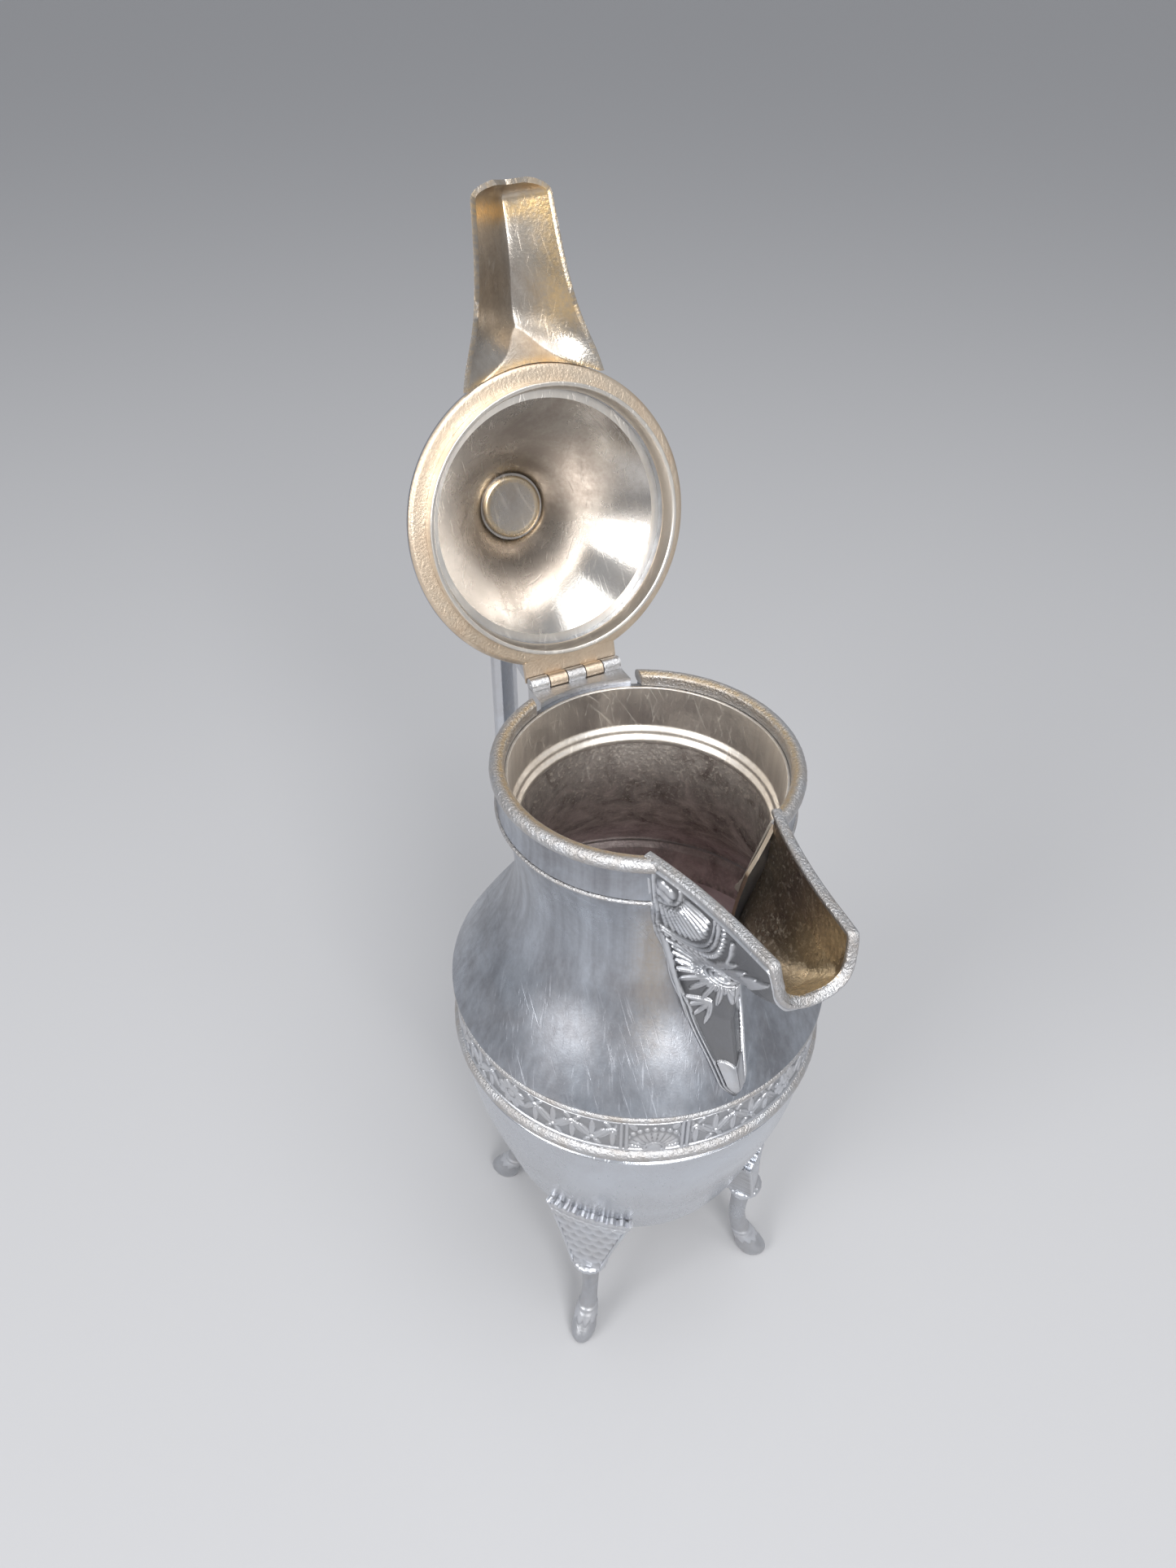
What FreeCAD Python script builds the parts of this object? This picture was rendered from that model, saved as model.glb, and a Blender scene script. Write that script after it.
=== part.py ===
import FreeCAD, Part
import math
import os

# Footed coffee pot of silver plate, in millimetres.
# The origin is on the pot's axis at floor level, +Z is up, the spout points to +X and the
# hinge and handle lie on the -X side. The lid is stored thrown back on its hinge.

V = FreeCAD.Vector
UP = V(0, 0, 1)

# Sheet walls and joints
WALL = 1.2                  # spun shells
SEAM = 0.05                 # solder film between pieces of one body
REST_GAP = 0.35             # free play between lid and pot when closed

# Bowl: each station lies inside the one above it and rises from the one below it
BASE_Z = 44.0               # clear height under the base
BASE_IN = 12.5
BASE_STEP = 2.0             # width of the ledge round the base disc
BASE_DISC_T = 1.4
BOWL_TURN_IN = 6.4
BOWL_TURN_RISE = 10.0
BOWL_LOW_IN = 4.4
BOWL_LOW_RISE = 14.0
BOWL_MID_IN = 4.0
BOWL_MID_RISE = 16.0
BOWL_HIGH_IN = 2.4
BOWL_HIGH_RISE = 16.0
BOWL_TOP_R = 53.7
BOWL_TOP_RISE = 18.0
SEAM_RISE = 8.0             # joint of bowl and neck above the bowl's top station
SEAM_STEP = 0.9             # the frieze's seat lies this far inside the bowl's top station

# Frieze and its wires
FRIEZE_T = 1.0
FRIEZE_H = 12.8
FRIEZE_LAP = 1.4            # the frieze reaches this far below the joint
UPPER_BEAD_H = 2.8
UPPER_BEAD_OUT = 1.6
LOWER_BEAD_H = 4.6
LOWER_BEAD_OUT = 2.2

# Shoulder and neck: each station rises from the one below it, and the flare and the sweep
# stand out from the waist by a share of what the shoulder does
SHOULDER_OUT = 1.6          # the shoulder stands this far outside the frieze's seat
SHOULDER_RISE = 3.8
NECK_FLARE_SHARE = 0.594
NECK_FLARE_RISE = 12.8
NECK_SWEEP_SHARE = 0.188
NECK_SWEEP_RISE = 13.0
NECK_WAIST_R = 34.7
NECK_WAIST_RISE = 16.0
MOUTH_OUT = 2.5             # the mouth wall stands this far outside the waist
MOUTH_WALL_RISE = 19.0
MOUTH_PLAIN_H = 1.0         # plain wall below the collar bead

# Mouth mouldings
RIM_H = 4.0
RIM_OUT = 2.8               # the rim stands this far outside the mouth wall
RIM_LIP_DROP = 0.7          # how far the inner edge of the rim lies below its crown
RIM_CROWN_OUT = 0.4         # the crown lies this far outside the middle of the rim
COLLAR_H = 9.0
COLLAR_T = 1.3
COLLAR_HOLLOW = 0.5
COLLAR_BEAD_R = 0.6
LINER_T = 0.7
LINER_H = 17.0
LINER_STEP = 1.2            # each of the two step rings at the liner's foot

# Cuts in the mouth
SPOUT_GAP_HALF = 17.3
HINGE_GAP_ADD = 2.3         # free length of the hinge notch past each end of the barrel
SLOT_TOP_IN = 0.9           # the slot ends this far inside the gap in the mouldings
SLOT_MID_HALF = 8.0
SLOT_MID_DROP = 14.2        # below the rim's top
SLOT_LOW_HALF = 6.4
SLOT_LOW_DROP = 51.2

# Spout. Stations run from the toe on the shoulder to above the rim: level as a share of the
# height from toe to rim, stand-off of the keel from the neck, half-width on the neck
SPOUT_WALL = 1.6
SPOUT_TOE_DROP = 0.6        # the toe reaches this far below the shoulder's edge
SPOUT_LEVELS = [0.0, 0.084, 0.175, 0.332, 0.514, 0.606, 0.671, 0.749, 0.833, 0.911, 1.0, 1.052]
KEEL_OUTS = [-0.7, 4.0, 5.2, 8.6, 11.4, 14.2, 22.3, 32.3, 38.4, 41.8, 43.8, 44.4]
SPOUT_HALVES = [3.0, 5.6, 7.2, 9.4, 12.0, 13.8, 15.2, 16.6, 17.6, 18.2, 18.6, 18.8]
LIP_LEVEL = 8               # station of the lip's lowest point
SPOUT_CORNER_BACK = 3.2     # where the level edge turns down, behind the lip's lowest point
SPOUT_CORNER_R = 3.0
SPOUT_SOLID_H = 19.4        # the spout is solid up to this height above its toe
LIP_BEAD_H = 1.6
LIP_BEAD_OUT = 0.6
KEEL_ROUND = 0.12           # roundness of the keel, as a share of the section's depth
LIP_SHARE = 0.57            # half-width of the beak as a share of the half-width at the rim
LIP_FLARE = 2.2             # how suddenly the beak widens towards the rim
LIP_NOSE = 0.06             # roundness of the lip's nose, as a share of the beak's length
BEAK_SHARES = [1.0, 0.8, 0.6, 0.4, 0.25, 0.13, 0.05]

# Feet. Leg sections run from the ring to the floor: level as a share of the ring's height,
# place as a share of the way from ring to toe, half-length and half-width
FOOT_COUNT = 4
FOOT_SPREAD = 5.1           # the toes stand this far outside the bowl's low station
FOOT_FAN_HALF = 14.5
FOOT_FAN_RISE = 5.0         # the fan reaches this far above the bowl's low station
FOOT_FAN_T = 2.4
FOOT_NECK_DROP = 2.0        # the ring's top lies this far below the base
FOOT_NECK_IN = 0.9          # the ring's centre lies this far inside the bowl's low station
FOOT_NECK_HALF = 4.8
FOOT_RING_R = 5.3
FOOT_RING_H = 2.6
FOOT_RING_EASE = 1.0
LEG_LEVELS = [1.0, 0.66, 0.36, 0.17, 0.07, 0.0]
LEG_PLACES = [0.0, -0.14, 0.1, 0.74, 1.0, 1.0]
LEG_LONGS = [3.6, 2.9, 3.1, 4.3, 5.4, 4.3]
LEG_SHORTS = [3.4, 2.8, 2.8, 3.8, 4.0, 3.0]

# Handle
GRIP_REACH = 96.0           # centre line of the upright grip from the pot's axis
GRIP_W = 8.0
GRIP_T = 6.6
GRIP_EASE = 1.8
ARM_ROOT_RISE = 11.0        # upper root above the neck's waist
ARM_CLIMB = 11.0            # the upper arm climbs this much from root to bend
ARM_LOW_ROOT_RISE = 1.0     # lower root above the bowl's high station
ARM_LOW_CLIMB = 40.0        # the lower arm climbs this much from root to bend
BEND_TOP_R = 12.0
BEND_LOW_R = 14.0
SOCKET_R = 6.6
SOCKET_H = 7.5
SOCKET_BEAD = 1.0

# Lid hinge
HINGE_OUT = 2.1             # hinge line outside the rim
HINGE_DROP = 1.2            # hinge line below the rim's top
KNUCKLE_R = 2.0
KNUCKLES = 5
BARREL_L = 27.4
KNUCKLE_GAP = 0.3
PIN_R = 0.8
PIN_PLAY = 0.05
LEAF_T = 1.5
LEAF_LAP = 3.2              # the lid leaf is let into the flange by this much
BODY_LEAF_H = 10.0
SWING_GAP = 0.4             # free space round a turning knuckle
LID_OPEN_DEG = 105.4

# Lid
FLANGE_IN = 0.8             # the flange ends this far inside the rim
FLANGE_H = 2.6
FLANGE_EASE = 1.04
BEZEL_PLAY = 0.45           # between the bezel and the smooth ring in the mouth
BEZEL_DROP = 4.1
BEZEL_T = 0.9
BEZEL_ROOT = 2.0            # width of the bezel where it meets the flange
DOME_WALL = 0.9
DOME_FOOT = 1.2             # the dome's foot lies this far inside the flange's inner edge
DOME_KNEE_SHARE = 0.804     # radii of the ogee as shares of the foot's
DOME_KNEE_H = 9.6
DOME_HIP_SHARE = 0.475
DOME_HIP_RISE = 13.0
APEX_SHARE = 0.304
APEX_RISE = 8.0
APEX_PLATE_IN = 1.0
APEX_PLATE_T = 0.8

# Finial
FINIAL_STEP = 1.2           # the base lies this far inside the dome's flat top
FINIAL_BASE_H = 3.2
FINIAL_BASE_EDGE = 1.0
FINIAL_BASE_HOLLOW = 0.7
FINIAL_NECK_ADD = 0.8       # the base's top is wider than the stem by this much
FINIAL_STEM_R = 2.6
FINIAL_STEM_H = 2.2
FINIAL_KNOB_OUT = 4.4       # the bud stands this far outside its stem
FINIAL_BUD_H = 6.8
FINIAL_CAP_H = 6.5
FINIAL_TIP_H = 2.5
FINIAL_TIP_R = 1.0
STUD_R = 1.5
STUD_REACH = 3.6            # length of the stud inside the knob

# Hood over the spout, on the lid
HOOD_WALL = 1.2
HOOD_ROOT_HALF = 18.0
HOOD_ROOT_FLARE = 1.6
HOOD_MID_HALF = 12.2
HOOD_TIP_HALF = 10.5
HOOD_HIP_OUT = 7.8          # highest place of the ridge, past the flange
HOOD_MID_OUT = 20.3
HOOD_TIP_OUT = 35.8
HOOD_NOSE = 4.6             # length of the rounded end
HOOD_LAP = 5.9              # the hood is drawn this far in over the flange before it is trimmed
HOOD_ROOT_H = 2.6
HOOD_EDGE_H = 3.6
HOOD_HIP_H = 9.4
HOOD_TIP_H = 7.6
ROOF_POWER = 1.5            # how sharply the roof falls from its ridge
ROOF_SHARES = [-1, -0.8, -0.55, -0.3, -0.12, 0, 0.12, 0.3, 0.55, 0.8, 1]
NOSE_PLACES = [0.0, 0.5, 0.85, 1.0]
NOSE_SHARES = [1.0, 0.86, 0.6, 0.36]

# Levels and radii that follow from the sizes above
BOWL_TURN_Z = BASE_Z + BOWL_TURN_RISE
BOWL_LOW_Z = BOWL_TURN_Z + BOWL_LOW_RISE
BOWL_MID_Z = BOWL_LOW_Z + BOWL_MID_RISE
BOWL_HIGH_Z = BOWL_MID_Z + BOWL_HIGH_RISE
BOWL_TOP_Z = BOWL_HIGH_Z + BOWL_TOP_RISE
BOWL_HIGH_R = BOWL_TOP_R - BOWL_HIGH_IN
BOWL_MID_R = BOWL_HIGH_R - BOWL_MID_IN
BOWL_LOW_R = BOWL_MID_R - BOWL_LOW_IN
BOWL_TURN_R = BOWL_LOW_R - BOWL_TURN_IN
BASE_R = BOWL_TURN_R - BASE_IN
SEAM_Z = BOWL_TOP_Z + SEAM_RISE
SEAM_R = BOWL_TOP_R - SEAM_STEP
FRIEZE_LOW_Z = SEAM_Z - FRIEZE_LAP
FRIEZE_TOP_Z = FRIEZE_LOW_Z + FRIEZE_H
SHOULDER_R = SEAM_R + SHOULDER_OUT
SHOULDER_Z = FRIEZE_TOP_Z + SHOULDER_RISE
NECK_FLARE_Z = SHOULDER_Z + NECK_FLARE_RISE
NECK_SWEEP_Z = NECK_FLARE_Z + NECK_SWEEP_RISE
NECK_WAIST_Z = NECK_SWEEP_Z + NECK_WAIST_RISE
MOUTH_WALL_Z = NECK_WAIST_Z + MOUTH_WALL_RISE
SHOULDER_SPAN = SHOULDER_R - NECK_WAIST_R
NECK_FLARE_R = NECK_WAIST_R + NECK_FLARE_SHARE * SHOULDER_SPAN
NECK_SWEEP_R = NECK_WAIST_R + NECK_SWEEP_SHARE * SHOULDER_SPAN
MOUTH_WALL_R = NECK_WAIST_R + MOUTH_OUT
COLLAR_LOW_Z = MOUTH_WALL_Z + MOUTH_PLAIN_H + 2 * COLLAR_BEAD_R
RIM_LOW_Z = COLLAR_LOW_Z + COLLAR_H
RIM_TOP_Z = RIM_LOW_Z + RIM_H
LINER_R = MOUTH_WALL_R - WALL - SEAM
RIM_IN_R = LINER_R
RIM_OUT_R = MOUTH_WALL_R + RIM_OUT
SLOT_TOP_HALF = SPOUT_GAP_HALF - SLOT_TOP_IN
SLOT_MID_Z = RIM_TOP_Z - SLOT_MID_DROP
SLOT_LOW_Z = RIM_TOP_Z - SLOT_LOW_DROP
SPOUT_TOE_Z = SHOULDER_Z - SPOUT_TOE_DROP
SPOUT_RISE = RIM_TOP_Z - SPOUT_TOE_Z
SPOUT_TIP_Z = SPOUT_TOE_Z + SPOUT_LEVELS[LIP_LEVEL] * SPOUT_RISE
SPOUT_TIP_X = MOUTH_WALL_R + KEEL_OUTS[LIP_LEVEL]
SPOUT_CORNER_X = SPOUT_TIP_X - SPOUT_CORNER_BACK
SPOUT_FLOOR_Z = SPOUT_TOE_Z + SPOUT_SOLID_H
FOOT_TOE_R = BOWL_LOW_R + FOOT_SPREAD
FOOT_NECK_R = BOWL_LOW_R - FOOT_NECK_IN
FOOT_NECK_Z = BASE_Z - FOOT_NECK_DROP
FOOT_FAN_TOP_Z = BOWL_LOW_Z + FOOT_FAN_RISE
ARM_ROOT_Z = NECK_WAIST_Z + ARM_ROOT_RISE
ARM_TOP_Z = ARM_ROOT_Z + ARM_CLIMB
ARM_LOW_ROOT_Z = BOWL_HIGH_Z + ARM_LOW_ROOT_RISE
GRIP_LOW_Z = ARM_LOW_ROOT_Z + ARM_LOW_CLIMB
HINGE_X = -RIM_OUT_R - HINGE_OUT
HINGE_Z = RIM_TOP_Z - HINGE_DROP
HINGE_GAP_HALF = BARREL_L / 2 + HINGE_GAP_ADD
BARREL_STEP = BARREL_L / KNUCKLES
FLANGE_Z = RIM_TOP_Z + REST_GAP
FLANGE_R = RIM_OUT_R - FLANGE_IN
BEZEL_R = LINER_R - LINER_T - BEZEL_PLAY
FLANGE_IN_R = BEZEL_R - BEZEL_ROOT
DOME_BASE_R = FLANGE_IN_R - DOME_FOOT
DOME_KNEE_R = DOME_BASE_R * DOME_KNEE_SHARE
DOME_HIP_R = DOME_BASE_R * DOME_HIP_SHARE
DOME_HIP_H = DOME_KNEE_H + DOME_HIP_RISE
APEX_R = DOME_BASE_R * APEX_SHARE
DOME_H = DOME_HIP_H + APEX_RISE
APEX_PLATE_R = APEX_R - APEX_PLATE_IN
FINIAL_BASE_R = APEX_R - FINIAL_STEP
FINIAL_NECK_R = FINIAL_STEM_R + FINIAL_NECK_ADD
FINIAL_KNOB_R = FINIAL_STEM_R + FINIAL_KNOB_OUT
HOOD_HIP_X = FLANGE_R + HOOD_HIP_OUT
HOOD_MID_X = FLANGE_R + HOOD_MID_OUT
HOOD_TIP_X = FLANGE_R + HOOD_TIP_OUT


def line(a, b):
    return Part.LineSegment(a, b).toShape()


def arc(a, mid, b):
    return Part.Arc(a, mid, b).toShape()


def spline(points):
    curve = Part.BSplineCurve()
    curve.interpolate(points)
    return curve.toShape()


def at(r, z):
    """Point of a turned profile, at radius r and height z."""
    return V(r, 0, z)


def turned(edges):
    """Solid of revolution about the pot's axis from a closed profile."""
    return Part.Face(Part.Wire(edges)).revolve(V(0, 0, 0), UP, 360)


def polygon(points):
    return [line(a, b) for a, b in zip(points, points[1:] + points[:1])]


def box(x0, x1, half_y, z0, z1):
    """Block that is symmetric about the plane of spout and handle."""
    return Part.makeBox(x1 - x0, 2 * half_y, z1 - z0, V(x0, -half_y, z0))


def disc_ring(r_in, r_out, z0, z1):
    outer = Part.makeCylinder(r_out, z1 - z0, V(0, 0, z0))
    return outer.cut(Part.makeCylinder(r_in, z1 - z0, V(0, 0, z0)))


def bowl_profile(inset):
    """Curve of the bowl from the foot of the frieze to the base, moved inwards by inset."""
    stations = [(BOWL_TOP_R, BOWL_TOP_Z), (BOWL_HIGH_R, BOWL_HIGH_Z), (BOWL_MID_R, BOWL_MID_Z),
                (BOWL_LOW_R, BOWL_LOW_Z), (BOWL_TURN_R, BOWL_TURN_Z), (BASE_R, BASE_Z)]
    low = [0, 0, 0, 0.2, 0.75, 1.0]
    return [at(r - inset * (1 - 0.6 * k), z + inset * k) for (r, z), k in zip(stations, low)]


def bowl_body(inset):
    curve = bowl_profile(inset)
    floor_z = curve[-1].z
    edges = [line(at(0, floor_z), curve[-1]), spline(curve[::-1]),
             line(curve[0], at(SEAM_R - inset, BOWL_TOP_Z)),
             line(at(SEAM_R - inset, BOWL_TOP_Z), at(SEAM_R - inset, SEAM_Z)),
             line(at(SEAM_R - inset, SEAM_Z), at(0, SEAM_Z)), line(at(0, SEAM_Z), at(0, floor_z))]
    return turned(edges)


def bowl_shell():
    """Lower body, open at the bottom for the base disc."""
    shell = bowl_body(0).cut(bowl_body(WALL))
    seat = Part.makeCylinder(BASE_R - BASE_STEP, 3 * WALL, V(0, 0, BASE_Z - WALL))
    return shell.cut(seat)


def base_disc():
    return Part.makeCylinder(BASE_R - BASE_STEP - SEAM, BASE_DISC_T, V(0, 0, BASE_Z))


def neck_body(inset):
    """Shoulder and neck as a full body, moved inwards by inset."""
    stations = [(SHOULDER_R, SHOULDER_Z), (NECK_FLARE_R, NECK_FLARE_Z), (NECK_SWEEP_R, NECK_SWEEP_Z),
                (NECK_WAIST_R, NECK_WAIST_Z), (MOUTH_WALL_R, MOUTH_WALL_Z)]
    drop = [0.5, 0.7, 0.4, 0, 0]
    curve = [at(r - inset * (1 - 0.4 * k), z - inset * k) for (r, z), k in zip(stations, drop)]
    foot = at(SEAM_R - inset, SEAM_Z)
    knee = at(SEAM_R - inset, FRIEZE_TOP_Z - inset * 0.5)
    mouth = at(MOUTH_WALL_R - inset, RIM_LOW_Z)
    edges = [line(foot, knee), line(knee, curve[0]), spline(curve), line(curve[-1], mouth),
             line(mouth, at(0, RIM_LOW_Z)), line(at(0, RIM_LOW_Z), at(0, SEAM_Z)),
             line(at(0, SEAM_Z), foot)]
    return turned(edges)


def spout_slot():
    """Opening from the pot into the spout: a funnel above a narrow slot with a round foot."""
    points = [V(0, -SLOT_TOP_HALF, RIM_TOP_Z + RIM_H), V(0, -SLOT_TOP_HALF, RIM_LOW_Z),
              V(0, -SLOT_MID_HALF, SLOT_MID_Z), V(0, -SLOT_LOW_HALF, SLOT_LOW_Z),
              V(0, SLOT_LOW_HALF, SLOT_LOW_Z), V(0, SLOT_MID_HALF, SLOT_MID_Z),
              V(0, SLOT_TOP_HALF, RIM_LOW_Z), V(0, SLOT_TOP_HALF, RIM_TOP_Z + RIM_H)]
    panel = Part.Face(Part.Wire(polygon(points))).extrude(V(SPOUT_TIP_X, 0, 0))
    foot = Part.makeCylinder(SLOT_LOW_HALF, SPOUT_TIP_X, V(0, 0, SLOT_LOW_Z), V(1, 0, 0))
    return panel.fuse(foot)


def neck_shell():
    return neck_body(0).cut(neck_body(WALL)).cut(spout_slot())


def frieze_band():
    r_in = SEAM_R + SEAM
    return disc_ring(r_in, r_in + FRIEZE_T, FRIEZE_LOW_Z + SEAM, FRIEZE_TOP_Z - SEAM)


def half_round(r_in, z0, height, out):
    """Half-round wire bent into a ring, its flat side against radius r_in."""
    edges = [line(at(r_in, z0 + height), at(r_in, z0)),
             arc(at(r_in, z0), at(r_in + out, z0 + height / 2), at(r_in, z0 + height))]
    return turned(edges)


def upper_bead():
    ring = half_round(SEAM_R + SEAM, FRIEZE_TOP_Z, UPPER_BEAD_H, UPPER_BEAD_OUT)
    return ring.cut(neck_body(-SEAM))


def lower_bead():
    ring = half_round(SEAM_R + SEAM, FRIEZE_LOW_Z - LOWER_BEAD_H, LOWER_BEAD_H, LOWER_BEAD_OUT)
    return ring.cut(bowl_body(-SEAM))


def mouth_gaps(half_spout):
    """Blocks that cut the mouth mouldings at the spout and at the hinge."""
    z0 = COLLAR_LOW_Z - RIM_H
    z1 = RIM_TOP_Z + RIM_H
    spout = box(0, SPOUT_TIP_X, half_spout, z0, z1)
    hinge = box(HINGE_X - KNUCKLE_R, 0, HINGE_GAP_HALF, z0, z1)
    return spout.fuse(hinge)


def neck_collar():
    """Strip under the rim with a shallow hollow along its face."""
    r_in = MOUTH_WALL_R + SEAM
    r_out = r_in + COLLAR_T
    z0 = COLLAR_LOW_Z
    z1 = RIM_LOW_Z - SEAM
    edges = [line(at(r_in, z1), at(r_in, z0)), line(at(r_in, z0), at(r_out, z0)),
             arc(at(r_out, z0), at(r_out - COLLAR_HOLLOW, (z0 + z1) / 2), at(r_out, z1)),
             line(at(r_out, z1), at(r_in, z1))]
    return turned(edges).cut(mouth_gaps(SPOUT_GAP_HALF))


def collar_bead():
    """Fine wire along the foot of the collar strip, standing proud of it by its own radius."""
    r_in = MOUTH_WALL_R + SEAM
    r_out = r_in + COLLAR_T
    z1 = COLLAR_LOW_Z - SEAM
    z0 = z1 - 2 * COLLAR_BEAD_R
    edges = [line(at(r_in, z1), at(r_in, z0)), line(at(r_in, z0), at(r_out, z0)),
             arc(at(r_out, z0), at(r_out + COLLAR_BEAD_R, z0 + COLLAR_BEAD_R), at(r_out, z1)),
             line(at(r_out, z1), at(r_in, z1))]
    return turned(edges).cut(mouth_gaps(SPOUT_GAP_HALF))


def rim_wire():
    """Heavy moulding on top of the neck: flat foot, round outside, eased inner edge."""
    foot_r = MOUTH_WALL_R + COLLAR_T
    crown_r = (RIM_IN_R + RIM_OUT_R) / 2 + RIM_CROWN_OUT
    in_z = RIM_TOP_Z - RIM_LIP_DROP
    mid_z = (RIM_LOW_Z + RIM_TOP_Z) / 2
    edges = [line(at(RIM_IN_R, RIM_LOW_Z + SEAM), at(foot_r, RIM_LOW_Z + SEAM)),
             arc(at(foot_r, RIM_LOW_Z + SEAM), at(RIM_OUT_R, mid_z), at(crown_r, RIM_TOP_Z)),
             line(at(crown_r, RIM_TOP_Z), at(RIM_IN_R, in_z)),
             line(at(RIM_IN_R, in_z), at(RIM_IN_R, RIM_LOW_Z + SEAM))]
    return turned(edges).cut(mouth_gaps(SPOUT_GAP_HALF))


def mouth_collar():
    """Smooth ring inside the mouth, with two steps at its foot."""
    z1 = RIM_LOW_Z
    z0 = RIM_TOP_Z - LINER_H
    r_in = LINER_R - LINER_T
    points = [at(LINER_R, z1), at(r_in, z1), at(r_in, z0), at(r_in - LINER_STEP, z0 - LINER_STEP),
              at(r_in - LINER_STEP, z0 - 2 * LINER_STEP), at(r_in - 2 * LINER_STEP, z0 - 3 * LINER_STEP),
              at(r_in - 2 * LINER_STEP, z0 - 4 * LINER_STEP), at(LINER_R, z0 - 4 * LINER_STEP)]
    ring = turned(polygon(points)).common(neck_body(WALL + SEAM))
    return ring.cut(spout_slot())


def neck_radius(z):
    """Outer radius of the neck at height z, straight between the profile's stations."""
    stations = [(SEAM_Z, SEAM_R), (SHOULDER_Z, SHOULDER_R), (NECK_FLARE_Z, NECK_FLARE_R),
                (NECK_SWEEP_Z, NECK_SWEEP_R), (NECK_WAIST_Z, NECK_WAIST_R),
                (MOUTH_WALL_Z, MOUTH_WALL_R), (RIM_TOP_Z + 2 * RIM_H, MOUTH_WALL_R)]
    for (z0, r0), (z1, r1) in zip(stations, stations[1:]):
        if z0 <= z <= z1:
            return r0 + (r1 - r0) * (z - z0) / (z1 - z0)
    return SHOULDER_R


def spout_stations():
    """Height, keel distance from the axis and half-width on the neck, from toe to above the rim."""
    heights = [SPOUT_TOE_Z + level * SPOUT_RISE for level in SPOUT_LEVELS]
    keels = [neck_radius(z) + out for z, out in zip(heights, KEEL_OUTS)]
    return list(zip(heights, keels, SPOUT_HALVES))


def beak_share(s, z):
    """Half-width of the beak as a share of its root, s from 0 at the keel to 1 on the neck."""
    keel = math.sqrt((s + KEEL_ROUND) ** 2 - KEEL_ROUND ** 2)
    keel /= math.sqrt((1 + KEEL_ROUND) ** 2 - KEEL_ROUND ** 2)
    lip = LIP_SHARE * math.sqrt(1 - math.exp(-s / LIP_NOSE)) + (1 - LIP_SHARE) * s ** LIP_FLARE
    blend = min(max((z - NECK_WAIST_Z) / (COLLAR_LOW_Z - NECK_WAIST_Z), 0), 1)
    return keel + (lip - keel) * blend


def beak_section(z, keel_x, half, inset):
    """Closed outline of the beak at one height, moved inwards by inset."""
    back_x = neck_radius(z) / 2
    root_x = math.sqrt(max(neck_radius(z) ** 2 - half ** 2, 1)) - SPOUT_WALL
    side = [(keel_x - inset - (keel_x - inset - root_x) * s, (half - inset) * beak_share(s, z))
            for s in BEAK_SHARES]
    right = [V(x, -y, z) for x, y in side]
    left = [V(x, y, z) for x, y in side[::-1]]
    outline = right + [V(keel_x - inset, 0, z)] + left
    edges = [spline(outline), line(outline[-1], V(back_x, half - inset, z)),
             line(V(back_x, half - inset, z), V(back_x, inset - half, z)),
             line(V(back_x, inset - half, z), outline[0])]
    return Part.Wire(edges)


def beak(inset, lift):
    """Body of the beak through its stations, inset all round and lifted."""
    wires = [beak_section(z, x, half, inset) for z, x, half in spout_stations()]
    for wire in wires:
        wire.translate(V(0, 0, lift))
    return Part.makeLoft(wires, True, False)


def rounded_corner(a, corner, b, radius):
    """Tangent arc between two straight runs: start, middle and end points."""
    u = (a - corner).normalize()
    w = (b - corner).normalize()
    half = u.getAngle(w) / 2
    start = corner + u * (radius / math.tan(half))
    end = corner + w * (radius / math.tan(half))
    bisector = (u + w).normalize()
    middle = corner + bisector * (radius / math.sin(half) - radius)
    return start, middle, end


def behind_lip(inset):
    """Space below the level edge and behind the pouring lip, drawn in by inset."""
    lean = (SPOUT_TIP_X - SPOUT_CORNER_X) / (RIM_TOP_Z - SPOUT_TIP_Z)
    depth = 3 * SPOUT_GAP_HALF
    top_z = RIM_TOP_Z - inset
    corner = V(SPOUT_CORNER_X - inset, -depth, top_z)
    back = V(0, -depth, top_z)
    foot = V(corner.x + lean * top_z, -depth, 0)
    start, middle, end = rounded_corner(back, corner, foot, SPOUT_CORNER_R)
    heel = V(0, -depth, 0)
    edges = [line(back, start), arc(start, middle, end), line(end, foot), line(foot, heel),
             line(heel, back)]
    return Part.Face(Part.Wire(edges)).extrude(V(0, 2 * depth, 0))


def mouth_plug():
    """The neck as a full body, carried straight up past the rim."""
    return neck_body(-SEAM).fuse(Part.makeCylinder(MOUTH_WALL_R + SEAM, 3 * RIM_H, V(0, 0, RIM_LOW_Z)))


def lip_bead():
    """Thick moulded edge along both cheeks and round the pouring lip."""
    inner = SPOUT_WALL + LIP_BEAD_OUT
    body = beak(-LIP_BEAD_OUT, -LIP_BEAD_OUT).cut(beak(inner, inner))
    edge = body.common(behind_lip(0)).cut(behind_lip(LIP_BEAD_H))
    return edge.cut(mouth_plug()).cut(rim_wire()).cut(neck_collar())


def spout_shell():
    below = Part.makeBox(2 * SPOUT_TIP_X, 4 * SPOUT_TIP_X, SPOUT_FLOOR_Z, V(0, -2 * SPOUT_TIP_X, 0))
    hollow = beak(SPOUT_WALL, SPOUT_WALL).cut(below)
    shell = beak(0, 0).cut(hollow).common(behind_lip(LIP_BEAD_H + SEAM))
    return shell.cut(mouth_plug()).cut(upper_bead()).cut(neck_collar()).cut(rim_wire()).cut(collar_bead())


def spout_cheek(side):
    """One cast cheek of the spout; side is +1 for left and -1 for right."""
    depth = 4 * SPOUT_GAP_HALF
    y0 = SEAM / 2 if side > 0 else -depth - SEAM / 2
    half = Part.makeBox(2 * SPOUT_TIP_X, depth, 2 * RIM_TOP_Z, V(0, y0, 0))
    return spout_shell().common(half)


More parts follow.
